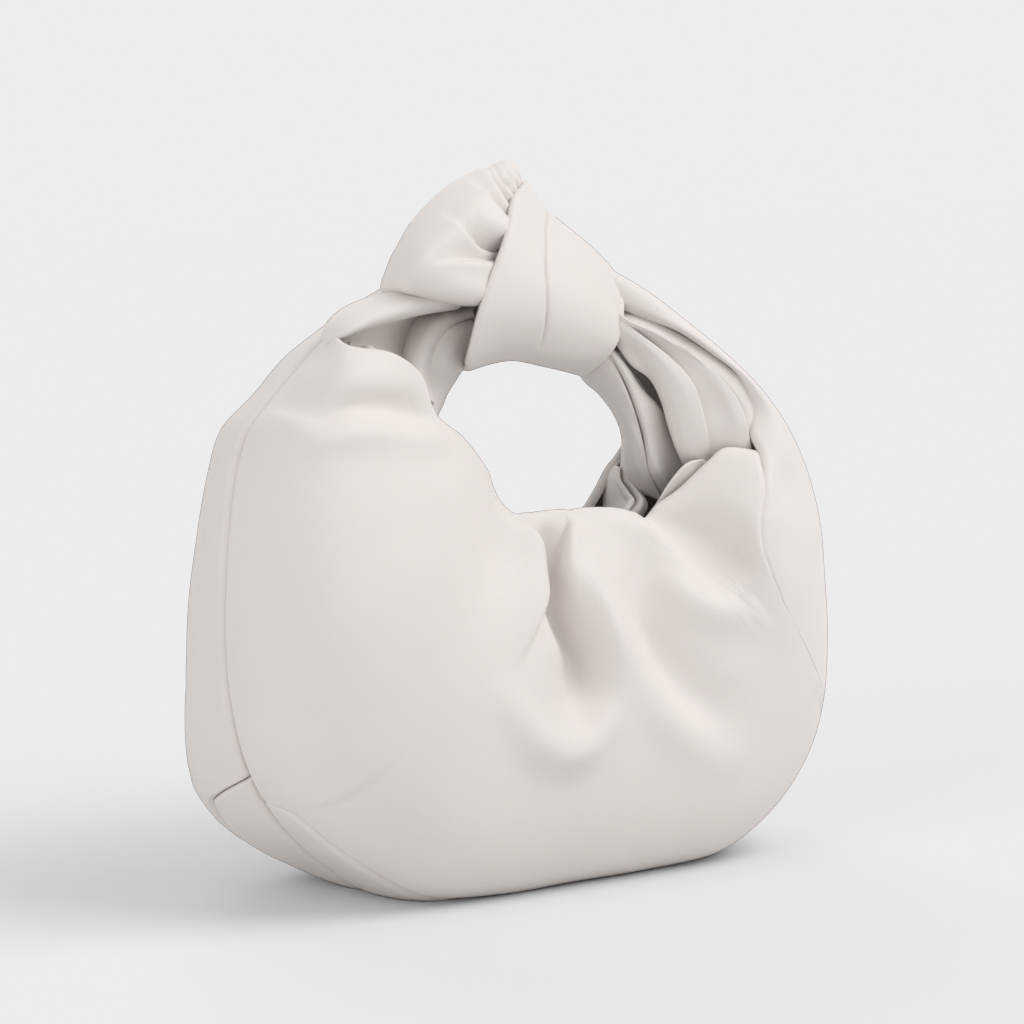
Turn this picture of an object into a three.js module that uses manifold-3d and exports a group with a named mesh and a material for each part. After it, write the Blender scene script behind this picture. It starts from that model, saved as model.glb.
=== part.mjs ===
// Small slouchy handbag of ivory leather with a knotted top handle. Millimetres, +Z up,
// origin on the table under the middle of the bag, +X to the right of someone facing its front,
// -Y out of the front. The body is two crescent panels of leather that meet in an outer seam,
// rise at both ends into gathered arms and leave a mouth between two free lips.

import * as THREE from 'three';
import { mergeVertices } from 'three/addons/utils/BufferGeometryUtils.js';
import Module from 'manifold-3d';

const wasm = await Module();
wasm.setup();

// Driving dimensions
const leatherThickness = 2.6;
const liningThickness = 1.0;
const facingThickness = 1.4;
const fitGap = 0.35;
const bulge = 0.74;

const hingeHeight = 205;
const knuckleRadius = 34;
const hingeGap = 0.4;
const swingAngle = 30;
const swingSpare = 2;

const baseSeamShare = 0.165;
const boardLength = 150;
const boardDepth = 50;
const boardThickness = 2;
const boardCorner = 22;

const facingStart = 9;
const snapX = 6;
const snapAcross = 0.875;
const standOffShare = 0.07;
const snapRadius = 9;
const snapHeight = 2.4;
const studRadius = 3.2;
const studHeight = 1.8;
const socketDepth = 1.6;
const washerRadius = 8;
const washerThickness = 0.9;
const facingStandOff = 2.2;

const pocketThickness = 0.9;
const pocketBottom = 5;
const pocketTop = 9;
const pocketFrom = 9;
const pocketTo = 14;

const wrapThickness = 3;
const ringSides = 24;
const columns = 12;
const rowsPerRib = 2;

// Ribs of the body, from the left shoulder under the base to the right shoulder. Each rib goes from
// the outer seam to the lips: outer [x, z], front lip and back lip [x, z, distance from the middle],
// depth of the bulge, and how far in from the seam it stands deepest.
const ribs = [
  { outer: [-118, 226], front: [-65, 212, 31], back: [-64, 212, 31], depth: 38, crest: 27 },
  { outer: [-138, 203], front: [-58, 203, 31], back: [-56, 203, 31], depth: 39, crest: 38 },
  { outer: [-146, 180], front: [-48, 194, 31], back: [-46, 190, 30], depth: 44, crest: 44 },
  { outer: [-149, 150], front: [-40, 184, 31], back: [-38, 178, 29], depth: 54, crest: 50 },
  { outer: [-150, 116], front: [-34, 175, 30], back: [-30, 167, 28], depth: 61, crest: 56 },
  { outer: [-147, 86], front: [-28, 166, 29], back: [-22, 157, 27], depth: 64, crest: 60 },
  { outer: [-140, 57], front: [-21, 161, 28], back: [-15, 150, 26], depth: 65, crest: 62 },
  { outer: [-127, 32], front: [-14, 160, 28], back: [-9, 147, 26], depth: 66, crest: 64 },
  { outer: [-106, 10], front: [-8, 160, 28], back: [-4, 146, 26], depth: 66, crest: 68 },
  { outer: [-80, -4], front: [-3, 160, 28], back: [0, 146, 26], depth: 66, crest: 70 },
  { outer: [-40, -7], front: [3, 160, 28], back: [4, 146, 26], depth: 66, crest: 70 },
  { outer: [0, -7], front: [10, 159.5, 28], back: [8, 146, 26], depth: 66, crest: 70 },
  { outer: [40, -7], front: [17, 159, 28], back: [12, 146, 26], depth: 66, crest: 70 },
  { outer: [82, -4], front: [24, 158.5, 28], back: [18, 146, 26], depth: 66, crest: 70 },
  { outer: [110, 10], front: [30, 158, 28], back: [24, 147, 26], depth: 66, crest: 68 },
  { outer: [132, 32], front: [37, 156.5, 28], back: [32, 149, 26], depth: 66, crest: 64 },
  { outer: [144, 57], front: [46, 155, 28], back: [40, 153, 27], depth: 65, crest: 62 },
  { outer: [149, 86], front: [56, 160, 29], back: [46, 159, 28], depth: 64, crest: 60 },
  { outer: [150, 112], front: [66, 168, 31], back: [52, 165, 29], depth: 62, crest: 56 },
  { outer: [149, 140], front: [77, 178, 33], back: [57, 172, 30], depth: 57, crest: 48 },
  { outer: [143, 165], front: [88, 185, 34], back: [58, 181, 31], depth: 49, crest: 38 },
  { outer: [133, 187], front: [72, 191, 33], back: [56, 190, 31], depth: 43, crest: 34 },
  { outer: [121, 205], front: [56, 201, 32], back: [52, 200, 31], depth: 39, crest: 33 },
  { outer: [106, 222], front: [44, 212, 31], back: [46, 211, 31], depth: 38, crest: 30 },
];

// Slouch folds of the panels: the line that each runs along [x, z], how far it stands out, or goes
// in where that is negative, and its width. They begin past the seam and end below the facings.
const folds = {
  front: [
    { line: [[-7, 146], [-15, 110], [-23, 76]], height: -11, width: 13 },
    { line: [[-26, 150], [-30, 124], [-44, 104]], height: 4, width: 14 },
    { line: [[8, 148], [3, 118], [-1, 84]], height: 4, width: 9 },
    { line: [[-47, 78], [-34, 63], [-12, 61], [2, 80]], height: 5, width: 9 },
    { line: [[37, 130], [31, 108], [40, 90], [74, 59]], height: -9, width: 13 },
    { line: [[15, 108], [25, 86], [43, 66], [72, 48]], height: 4.5, width: 11 },
    { line: [[58, 153], [66, 146], [78, 130]], height: -7, width: 11 },
    { line: [[44, 126], [63, 111], [84, 115], [95, 130]], height: 5, width: 9 },
  ],
  back: [
    { line: [[6, 146], [12, 108], [24, 74]], height: -8, width: 14 },
    { line: [[34, 142], [36, 116], [48, 92]], height: 3.5, width: 14 },
    { line: [[-4, 132], [8, 88]], height: 3, width: 9 },
    { line: [[42, 78], [22, 62], [2, 72]], height: 4, width: 9 },
    { line: [[-28, 136], [-42, 110], [-76, 70]], height: -6, width: 13 },
    { line: [[-22, 108], [-50, 72], [-76, 54]], height: 3.5, width: 11 },
  ],
};
const foldStart = 0.12;
const foldEnd = 0.82;
const foldFade = 0.2;

// Share of the way from the outer seam to the front lip at which the back panel meets the front
// one, rib by rib from wrapStart: at the right end the back panel wraps round to the front.
const wrapShares = [0, 0.12, 0.27, 0.4, 0.5, 0.62, 0.8, 1, 1];
const wrapStart = 15;
const baseStart = 7;
const baseEnd = 15;
const baseTaper = 1.4;
const lobeEnd = 20.5;
const lastRib = ribs.length - 1;

const material = (name, color, roughness, metalness = 0) =>
  new THREE.MeshStandardMaterial({ name, color, roughness, metalness });
const leather = material('ivory_leather', 0xe3dcd6, 0.62);
const innerLeather = material('facing_leather', 0xd9d0c8, 0.6);
const lining = material('lining', 0xcabfae, 0.85);
const board = material('board', 0xb9a98f, 0.9);
const metal = material('snap_metal', 0xc9c3b6, 0.3, 1);

const group = new THREE.Group();
group.name = 'knotted_handbag';

function addPart(name, geometry, look) {
  const mesh = new THREE.Mesh(geometry, look);
  mesh.name = name;
  group.add(mesh);
  return mesh;
}

// Solids

function signedVolume(points, triangles) {
  let sum = 0;
  for (const [a, b, c] of triangles) {
    sum += points[a].dot(new THREE.Vector3().crossVectors(points[b], points[c]));
  }
  return sum / 6;
}

function closedGeometry(points, triangles) {
  const outward = signedVolume(points, triangles) > 0;
  const order = outward ? triangles : triangles.map(([a, b, c]) => [a, c, b]);
  const geometry = new THREE.BufferGeometry();
  geometry.setAttribute('position', new THREE.Float32BufferAttribute(points.flatMap((p) => p.toArray()), 3));
  geometry.setIndex(order.flat());
  return geometry;
}

// A sheet with thickness, from two grids of points that face each other.
function sheetGeometry(outer, inner) {
  const rows = outer.length;
  const width = outer[0].length;
  const points = [...outer.flat(), ...inner.flat()];
  const triangles = [];
  const quad = (a, b, c, d) => triangles.push([a, b, c], [a, c, d]);
  const top = (i, j) => i * width + j;
  const under = (i, j) => rows * width + i * width + j;
  for (let i = 0; i < rows - 1; i += 1) {
    for (let j = 0; j < width - 1; j += 1) {
      quad(top(i, j), top(i + 1, j), top(i + 1, j + 1), top(i, j + 1));
      quad(under(i, j), under(i, j + 1), under(i + 1, j + 1), under(i + 1, j));
    }
    quad(top(i, 0), under(i, 0), under(i + 1, 0), top(i + 1, 0));
    const last = width - 1;
    quad(top(i + 1, last), under(i + 1, last), under(i, last), top(i, last));
  }
  for (let j = 0; j < width - 1; j += 1) {
    quad(top(0, j), top(0, j + 1), under(0, j + 1), under(0, j));
    quad(top(rows - 1, j + 1), top(rows - 1, j), under(rows - 1, j), under(rows - 1, j + 1));
  }
  return closedGeometry(points, triangles);
}

// A closed tube from rings of equal count, with a fan over each end.
function ringGeometry(rings) {
  const sides = rings[0].length;
  const points = rings.flat();
  const triangles = [];
  for (let i = 0; i < rings.length - 1; i += 1) {
    for (let j = 0; j < sides; j += 1) {
      const next = (j + 1) % sides;
      const a = i * sides + j;
      const b = i * sides + next;
      triangles.push([a, b, b + sides], [a, b + sides, a + sides]);
    }
  }
  for (const [ring, flip] of [[0, true], [rings.length - 1, false]]) {
    const middle = rings[ring].reduce((sum, p) => sum.add(p), new THREE.Vector3()).divideScalar(sides);
    points.push(middle);
    for (let j = 0; j < sides; j += 1) {
      const a = ring * sides + j;
      const b = ring * sides + (j + 1) % sides;
      triangles.push(flip ? [points.length - 1, b, a] : [points.length - 1, a, b]);
    }
  }
  return closedGeometry(points, triangles);
}

function toSolid(geometry) {
  const bare = geometry.clone();
  bare.deleteAttribute('normal');
  bare.deleteAttribute('uv');
  const merged = mergeVertices(bare, 1e-4);
  return new wasm.Manifold(new wasm.Mesh({
    numProp: 3,
    vertProperties: Float32Array.from(merged.attributes.position.array),
    triVerts: Uint32Array.from(merged.index.array),
  }));
}

function toGeometry(solid) {
  const mesh = solid.getMesh();
  const geometry = new THREE.BufferGeometry();
  geometry.setAttribute('position', new THREE.BufferAttribute(mesh.vertProperties.slice(), 3));
  geometry.setIndex(new THREE.BufferAttribute(mesh.triVerts.slice(), 1));
  return geometry;
}

function boxSolid(low, high) {
  const size = new THREE.Vector3().subVectors(high, low);
  const middle = new THREE.Vector3().addVectors(low, high).multiplyScalar(0.5);
  return toSolid(new THREE.BoxGeometry(size.x, size.y, size.z).translate(middle.x, middle.y, middle.z));
}

// A cylinder along X on the hinge axis.
function knuckleSolid(radius, fromX, toX) {
  const cylinder = new THREE.CylinderGeometry(radius, radius, toX - fromX, 64);
  cylinder.rotateZ(Math.PI / 2).rotateX(Math.PI / 64);
  return toSolid(cylinder.translate((fromX + toX) / 2, 0, hingeHeight));
}

// Body surface

function between(list, at) {
  const low = Math.min(Math.floor(at), list.length - 2);
  const u = at - low;
  const p = [low - 1, low, low + 1, low + 2].map((i) => list[Math.max(0, Math.min(list.length - 1, i))]);
  const tangentLow = (p[2] - p[0]) / 2;
  const tangentHigh = (p[3] - p[1]) / 2;
  const u2 = u * u;
  const u3 = u2 * u;
  return p[1] * (2 * u3 - 3 * u2 + 1) + tangentLow * (u3 - 2 * u2 + u)
    + p[2] * (3 * u2 - 2 * u3) + tangentHigh * (u3 - u2);
}

const railOf = (key, index) => ribs.map((rib) => (index === undefined ? rib[key] : rib[key][index]));
const rails = {
  outerX: railOf('outer', 0),
  outerZ: railOf('outer', 1),
  frontX: railOf('front', 0),
  frontZ: railOf('front', 1),
  frontY: railOf('front', 2),
  backX: railOf('back', 0),
  backZ: railOf('back', 1),
  backY: railOf('back', 2),
  depth: railOf('depth'),
  crest: railOf('crest'),
};

const bezier = (a, b, c, d, u) =>
  a * (1 - u) ** 3 + 3 * b * u * (1 - u) ** 2 + 3 * c * u * u * (1 - u) + d * u ** 3;

const smoothStep = (u) => {
  const v = Math.min(1, Math.max(0, u));
  return v * v * (3 - 2 * v);
};

// Distance from a place to a line of points.
function distanceTo(line, x, z) {
  return line.slice(1).reduce((least, [endX, endZ], i) => {
    const [startX, startZ] = line[i];
    const run = new THREE.Vector2(endX - startX, endZ - startZ);
    const place = new THREE.Vector2(x - startX, z - startZ);
    const share = Math.min(1, Math.max(0, place.dot(run) / run.lengthSq()));
    return Math.min(least, place.distanceTo(run.multiplyScalar(share)));
  }, Infinity);
}

// How far the folds stand out at a place of a panel, share of the way from the seam to the lip.
function foldHeight(side, share, x, z) {
  const fade = smoothStep((share - foldStart) / foldFade) * smoothStep((foldEnd - share) / foldFade);
  const bump = ({ line, height, width }) => height * Math.exp(-((distanceTo(line, x, z) / width) ** 2));
  return fade * folds[side].reduce((sum, fold) => sum + bump(fold), 0);
}

// A point of the body: at runs along the ribs, across from -1 at the front lip over 0 at the outer
// seam to 1 at the back lip, inset goes in from the leather's outer face and floor is the lowest z.
function bodyPoint(at, across, inset = 0, floor = inset) {
  const side = across < 0 ? 'front' : 'back';
  const share = Math.abs(across);
  const outer = new THREE.Vector2(between(rails.outerX, at), between(rails.outerZ, at));
  const lip = new THREE.Vector2(between(rails[`${side}X`], at), between(rails[`${side}Z`], at));
  const inward = lip.clone().sub(outer);
  const length = inward.length();
  inward.divideScalar(length);
  const depth = between(rails.depth, at) - inset;
  const lipDepth = between(rails[`${side}Y`], at) - inset;
  const crest = Math.min(between(rails.crest, at), length * 0.6);
  let along;
  let out;
  if (share <= 0.5) {
    const u = share * 2;
    along = bezier(inset, inset, crest - (crest - inset) * bulge, crest, u);
    out = bezier(0, depth * bulge, depth, depth, u);
  } else {
    const u = share * 2 - 1;
    const rest = length - crest;
    along = bezier(crest, crest + rest * 0.4, length - rest * 0.3, length, u);
    out = bezier(depth, depth, lipDepth + (depth - lipDepth) * 0.4, lipDepth, u);
  }
  const place = outer.addScaledVector(inward, along);
  out += foldHeight(side, share, place.x, place.y);
  return new THREE.Vector3(place.x, side === 'front' ? -out : out, Math.max(place.y, floor));
}

// Half width of the base panels, as a share of the way to a lip.
function baseShare(at) {
  return baseSeamShare * smoothStep((at - baseStart) / baseTaper) * smoothStep((baseEnd - at) / baseTaper);
}

const wrapShare = (at) => (at > wrapStart ? between(wrapShares, at - wrapStart) : 0);
const frontEdge = (at) => -Math.max(baseShare(at), wrapShare(at));

// How much of the share across, or of a rib, makes half of fitGap at a place.
function gapAcross(at, across) {
  const step = 0.002;
  return (fitGap / 2) * step / bodyPoint(at, across).distanceTo(bodyPoint(at, across + step));
}

function gapAlong(at, across) {
  const step = 0.01;
  return (fitGap / 2) * step / bodyPoint(at, across).distanceTo(bodyPoint(at + step, across));
}

// Even steps between two values, both included.
function steps(from, to, wanted) {
  const count = Math.max(1, Math.round(wanted));
  return Array.from({ length: count + 1 }, (_, i) => from + (to - from) * i / count);
}

// A sheet inside the body from rib to rib and from column to column of the common grid.
function bodySheet({ from, to, low, high, outside, inside, floorOutside, floorInside }) {
  const grid = (inset, floor) => steps(from, to, (to - from) * rowsPerRib).map((at) =>
    steps(low, high, high - low).map((column) => {
      const across = column / columns;
      const depth = typeof inset === 'function' ? inset(Math.abs(across)) : inset;
      return bodyPoint(at, across, depth, floor ?? depth);
    }));
  return sheetGeometry(grid(outside, floorOutside), grid(inside, floorInside));
}

// The hinge's clearance: everything of the body above the hinge, and the troughs of the knuckles.
function hingeRoom(gap) {
  const far = 400;
  const clear = 30;
  const above = boxSolid(new THREE.Vector3(-far, -far, hingeHeight), new THREE.Vector3(far, far, far));
  const radius = knuckleRadius + gap;
  return above.add(knuckleSolid(radius, -far, -clear)).add(knuckleSolid(radius, clear, far));
}

const troughs = hingeRoom(hingeGap);
const cutTroughs = (geometry) => toSolid(geometry).subtract(troughs);

const bladeReach = 3;
const bladeRows = 2 * rowsPerRib;
const bladeInsets = steps(-bladeReach, leatherThickness + bladeReach, 3);

// A thin blade through the leather along a seam that runs along the ribs.
function seamBlade(from, to, edge) {
  const grid = (sign) => steps(from, to, (to - from) * bladeRows).map((at) =>
    bladeInsets.map((inset) => bodyPoint(at, edge(at) + sign * gapAcross(at, edge(at)), inset)));
  return toSolid(sheetGeometry(grid(-1), grid(1)));
}

// A thin blade through the leather along one rib.
function ribBlade(at, low, high) {
  const grid = (sign) => steps(low, high, columns).map((across) =>
    bladeInsets.map((inset) => bodyPoint(at + sign * gapAlong(at, across), across, inset)));
  return toSolid(sheetGeometry(grid(-1), grid(1)));
}

// The outer leather as one shell, cut along its seams into the front, the back and the base panels.
function leatherPanels() {
  const shell = cutTroughs(bodySheet({
    from: 0, to: lastRib, low: -columns, high: columns, outside: 0, inside: leatherThickness,
  }));
  const past = 0.02;
  const blades = [
    seamBlade(-1 / bladeRows, lobeEnd, frontEdge),
    seamBlade(baseStart, baseEnd, () => 0),
    seamBlade(baseStart, baseEnd, baseShare),
    ribBlade(lobeEnd, -1 - past, frontEdge(lobeEnd) + past),
  ];
  const pieces = blades.reduce((rest, blade) => rest.subtract(blade), shell).decompose();
  return pieces.sort((a, b) => b.volume() - a.volume());
}

// Pieces inside the body

const liningOutside = leatherThickness + fitGap;
const liningInside = liningOutside + liningThickness;
const boardFloor = leatherThickness + fitGap;
const liningFloor = boardFloor + boardThickness + fitGap;

const liningFrom = 1;
const liningTo = lastRib - 2;

// One half of the lining, which ends below the facing and at the middle seam.
function liningHalf(sign) {
  const sheet = cutTroughs(bodySheet({
    from: liningFrom,
    to: liningTo,
    low: -facingStart,
    high: facingStart,
    outside: liningOutside,
    inside: liningInside,
    floorOutside: liningFloor,
    floorInside: liningFloor + liningThickness,
  }));
  const far = 400;
  const low = new THREE.Vector3(-far, sign < 0 ? -far : fitGap / 2, -far);
  const high = new THREE.Vector3(far, sign < 0 ? -fitGap / 2 : far, far);
  return sheet.intersect(boxSolid(low, high));
}

const facingFrom = 3.5;
const facingTo = 19.5;

// A facing stands off the leather where the closure's washer lies behind it.
function facing(sign) {
  const stand = (share) => liningOutside + facingStandOff * smoothStep((1 - share) / standOffShare);
  const start = facingStart + 0.1;
  return cutTroughs(bodySheet({
    from: facingFrom,
    to: facingTo,
    low: sign < 0 ? -columns : start,
    high: sign < 0 ? -start : columns,
    outside: stand,
    inside: (share) => stand(share) + facingThickness,
  }));
}

function roundedPlate(length, depth, corner, thickness, z) {
  const shape = new THREE.Shape();
  const x = length / 2 - corner;
  const y = depth / 2 - corner;
  shape.absarc(x, y, corner, 0, Math.PI / 2);
  shape.absarc(-x, y, corner, Math.PI / 2, Math.PI);
  shape.absarc(-x, -y, corner, Math.PI, 1.5 * Math.PI);
  shape.absarc(x, -y, corner, 1.5 * Math.PI, 2 * Math.PI);
  const plate = new THREE.ExtrudeGeometry(shape, { depth: thickness, bevelEnabled: false, curveSegments: 8 });
  return plate.translate(0, 0, z);
}

function innerPocket() {
  const gap = 0.3;
  return bodySheet({
    from: pocketFrom,
    to: pocketTo,
    low: pocketBottom,
    high: pocketTop,
    outside: liningInside + gap,
    inside: liningInside + gap + pocketThickness,
  });
}

// Place and outward direction of the closure on a facing, found on the rib that passes nearest snapX.
function closureSeat(sign, inset) {
  const across = sign * snapAcross;
  let at = lastRib / 2;
  for (const step of [2, 1, 0.5, 0.25, 0.12, 0.06]) {
    at += bodyPoint(at, across).x < snapX ? step : -step;
  }
  const place = bodyPoint(at, across, inset);
  const alongX = bodyPoint(at + 0.1, across, inset).sub(place);
  const alongZ = bodyPoint(at, across - sign * 0.02, inset).sub(place);
  const inward = new THREE.Vector3().crossVectors(alongX, alongZ).normalize();
  if (inward.y * sign > 0) inward.negate();
  return { place, inward };
}

// A lathe turned on the closure's line: the profile's height runs into the bag.
function closurePiece(sign, inset, profile) {
  const { place, inward } = closureSeat(sign, inset);
  const outline = profile.map(([radius, height]) => new THREE.Vector2(radius, height));
  const lathe = new THREE.LatheGeometry(outline, 24);
  lathe.applyQuaternion(new THREE.Quaternion().setFromUnitVectors(new THREE.Vector3(0, 1, 0), inward));
  return lathe.translate(place.x, place.y, place.z);
}

const facingInside = liningOutside + facingStandOff + facingThickness;
const closureGap = 0.5;

function snapStud() {
  return closurePiece(-1, facingInside + closureGap, [
    [0, 0], [snapRadius, 0], [snapRadius, snapHeight], [studRadius, snapHeight],
    [studRadius, snapHeight + studHeight], [0, snapHeight + studHeight],
  ]);
}

function snapSocket() {
  const bore = studRadius + fitGap;
  return closurePiece(1, facingInside + closureGap, [
    [0, 0], [snapRadius, 0], [snapRadius, snapHeight], [bore, snapHeight],
    [bore, snapHeight - socketDepth], [0, snapHeight - socketDepth],
  ]);
}

function washer(sign) {
  const inset = liningOutside + facingStandOff - fitGap - washerThickness;
  return closurePiece(sign, inset, [
    [0, 0], [washerRadius, 0], [washerRadius, washerThickness], [0, washerThickness],
  ]);
}

// Handle

// Ribs of an arm, from the knot down to below the hinge: outer and inner [x, z] and half depth.
const leftArm = [
  { outer: [-40, 266], inner: [-27, 232], depth: 22 },
  { outer: [-60, 262], inner: [-39, 228], depth: 25 },
  { outer: [-78, 254], inner: [-47, 219], depth: 29 },
  { outer: [-98, 241], inner: [-56, 211], depth: 32 },
  { outer: [-119, 224], inner: [-60, 203], depth: 34 },
  { outer: [-137, 203], inner: [-60, 193], depth: 34.5 },
  { outer: [-145, 182], inner: [-56, 182], depth: 35 },
  { outer: [-149, 150], inner: [-52, 165], depth: 35 },
];
const rightArm = [
  { outer: [46, 258], inner: [22, 221], depth: 21 },
  { outer: [64, 251], inner: [31, 211], depth: 26 },
  { outer: [84, 238], inner: [41, 202], depth: 30 },
  { outer: [104, 222], inner: [50, 194], depth: 33 },
  { outer: [121, 204], inner: [55, 186], depth: 34.5 },
  { outer: [134, 184], inner: [58, 176], depth: 35 },
  { outer: [147, 155], inner: [60, 160], depth: 35 },
];

// A ring in the plane through an outer and an inner point and the Y direction, squared a little.
function squareRing({ outer, inner, depth, shift = 0 }, grow = 0) {
  const middle = new THREE.Vector2((outer[0] + inner[0]) / 2, (outer[1] + inner[1]) / 2);
  const reach = new THREE.Vector2(outer[0], outer[1]).sub(middle);
  const half = reach.length() + grow;
  reach.normalize();
  return Array.from({ length: ringSides }, (_, i) => {
    const angle = 2 * Math.PI * i / ringSides;
    const soften = (v) => Math.sign(v) * Math.abs(v) ** 0.8;
    const along = soften(Math.cos(angle)) * half;
    const out = soften(Math.sin(angle)) * (depth + grow);
    return new THREE.Vector3(middle.x + reach.x * along, shift + out, middle.y + reach.y * along);
  });
}

function smoothRings(list, grow, perSpan = 2) {
  const value = (key, index, at) => between(list.map((rib) => rib[key][index]), at);
  return steps(0, list.length - 1, (list.length - 1) * perSpan).map((at) => squareRing({
    outer: [value('outer', 0, at), value('outer', 1, at)],
    inner: [value('inner', 0, at), value('inner', 1, at)],
    depth: between(list.map((rib) => rib.depth), at),
    shift: between(list.map((rib) => rib.shift ?? 0), at),
  }, grow));
}

const ringSolid = (list, grow = 0) => toSolid(ringGeometry(smoothRings(list, grow)));

// The space that an arm may fill: round the hinge axis, or above the planes that it swings to.
function armRoom() {
  const far = 400;
  const slope = Math.tan(THREE.MathUtils.degToRad(swingAngle + swingSpare));
  const shape = new THREE.Shape();
  shape.moveTo(0, hingeHeight);
  shape.lineTo(far, hingeHeight + far * slope);
  shape.lineTo(-far, hingeHeight + far * slope);
  shape.closePath();
  const wedge = new THREE.ExtrudeGeometry(shape, { depth: 2 * far, bevelEnabled: false });
  wedge.translate(0, 0, -far).applyMatrix4(new THREE.Matrix4().makeBasis(
    new THREE.Vector3(0, 1, 0), new THREE.Vector3(0, 0, 1), new THREE.Vector3(1, 0, 0)));
  return toSolid(wedge).add(knuckleSolid(knuckleRadius, -far, far));
}

// The band of the knot, from its wide left rim to its narrow right rim.
const wrap = [
  { outer: [-17, 304], inner: [-47, 226], depth: 30, shift: -3 },
  { outer: [1, 299], inner: [-28, 223], depth: 31, shift: -3 },
  { outer: [20, 287], inner: [-6, 221], depth: 29, shift: -2 },
  { outer: [36, 270], inner: [14, 218], depth: 25, shift: -1 },
  { outer: [43, 257], inner: [28, 219], depth: 22, shift: 0 },
];

// The lobe of leather that bulges out of the knot on its left.
const loop = [
  { outer: [-68, 261], inner: [-64, 258.5], depth: 9, shift: -2 },
  { outer: [-64, 272], inner: [-54, 256.5], depth: 19, shift: -2 },
  { outer: [-53, 287], inner: [-43, 255], depth: 25, shift: -2 },
  { outer: [-38, 299], inner: [-33, 253], depth: 28, shift: -2 },
  { outer: [-20, 306], inner: [-24, 251], depth: 28, shift: -2 },
  { outer: [-1, 308], inner: [-14, 251], depth: 25, shift: -2 },
];

// The band's shape, grown or shrunk and run a little past both rims.
function longBand(grow) {
  const past = 4;
  const drop = 1;
  const moved = (rib, sign) => ({
    ...rib,
    outer: [rib.outer[0] + sign * past, rib.outer[1] - sign * drop],
    inner: [rib.inner[0] + sign * past, rib.inner[1] - sign * drop],
  });
  return ringSolid([moved(wrap[0], -1), ...wrap, moved(wrap[wrap.length - 1], 1)], grow);
}

function buildHandle() {
  const room = armRoom();
  const wrapOuter = ringSolid(wrap);
  const wrapBore = longBand(-wrapThickness);
  const wrapSolid = wrapOuter.subtract(wrapBore);
  const wrapClear = longBand(-wrapThickness - fitGap);
  const left = ringSolid(leftArm).intersect(room);
  const right = ringSolid(rightArm).intersect(room);
  const aroundWrap = ringSolid(wrap, fitGap);
  const loopSolid = ringSolid(loop).subtract(aroundWrap);
  const aroundLoop = ringSolid(loop, fitGap);
  addPart('knot_wrap', toGeometry(wrapSolid), leather);
  addPart('knot_core', toGeometry(wrapClear.intersect(wrapOuter)), leather);
  addPart('knot_loop', toGeometry(loopSolid), leather);
  addPart('left_handle_arm', toGeometry(left.subtract(aroundWrap).subtract(aroundLoop)), leather);
  addPart('right_handle_arm', toGeometry(right.subtract(aroundWrap)), leather);
}

const [backLeather, frontLeather, ...baseLeather] = leatherPanels();
const frontBase = baseLeather.find((solid) => solid.boundingBox().max[1] <= 0);
const backBase = baseLeather.find((solid) => solid.boundingBox().min[1] >= 0);
addPart('front_panel', toGeometry(frontLeather), leather);
addPart('back_panel', toGeometry(backLeather), leather);
addPart('front_base_panel', toGeometry(frontBase), leather);
addPart('back_base_panel', toGeometry(backBase), leather);
addPart('base_board', roundedPlate(boardLength, boardDepth, boardCorner, boardThickness, boardFloor), board);
addPart('front_lining', toGeometry(liningHalf(-1)), lining);
addPart('back_lining', toGeometry(liningHalf(1)), lining);
addPart('front_facing', toGeometry(facing(-1)), innerLeather);
addPart('back_facing', toGeometry(facing(1)), innerLeather);
addPart('inner_pocket', innerPocket(), lining);
addPart('snap_stud', snapStud(), metal);
addPart('snap_socket', snapSocket(), metal);
addPart('snap_stud_washer', washer(-1), metal);
addPart('snap_socket_washer', washer(1), metal);
buildHandle();

export default group;
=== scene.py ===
"""A small slouchy handbag of ivory leather with a knotted top handle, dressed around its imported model.

The leather is built as sheets that follow ribs from the outer seam to the mouth, with the folds of the
real bag pressed into them, and as gathered pleats in the handle and the knot. Tables are in millimetres
and every mesh is in metres, in the model's own frame.
"""

import math

import bpy
import numpy as np
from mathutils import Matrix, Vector


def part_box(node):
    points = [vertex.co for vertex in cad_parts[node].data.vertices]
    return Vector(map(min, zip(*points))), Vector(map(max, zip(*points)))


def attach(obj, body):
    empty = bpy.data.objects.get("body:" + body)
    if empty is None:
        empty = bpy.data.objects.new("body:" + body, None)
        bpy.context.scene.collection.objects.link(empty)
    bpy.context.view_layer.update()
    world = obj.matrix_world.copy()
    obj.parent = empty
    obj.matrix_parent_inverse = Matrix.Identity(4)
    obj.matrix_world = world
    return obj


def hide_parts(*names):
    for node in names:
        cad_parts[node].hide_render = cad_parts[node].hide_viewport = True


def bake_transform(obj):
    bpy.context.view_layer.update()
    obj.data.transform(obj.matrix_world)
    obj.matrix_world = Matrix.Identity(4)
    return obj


bl_info = {
    "name": "Knotted Leather Handbag",
    "version": (1, 0, 0),
    "blender": (4, 5, 0),
    "location": "View3D > Sidebar > Handbag",
    "description": "Builds the soft leather, lining and fittings of a small knotted handbag",
    "category": "Object",
}

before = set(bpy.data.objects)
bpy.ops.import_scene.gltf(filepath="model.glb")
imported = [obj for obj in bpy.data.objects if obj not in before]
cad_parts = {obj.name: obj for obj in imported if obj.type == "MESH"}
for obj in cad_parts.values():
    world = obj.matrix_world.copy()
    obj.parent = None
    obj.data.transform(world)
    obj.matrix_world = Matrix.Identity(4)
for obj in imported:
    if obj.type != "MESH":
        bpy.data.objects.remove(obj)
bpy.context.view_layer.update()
MM = 0.001
FRONT = np.array([1.0, -1.0, 1.0])
BACK = np.array([1.0, 1.0, 1.0])
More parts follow.
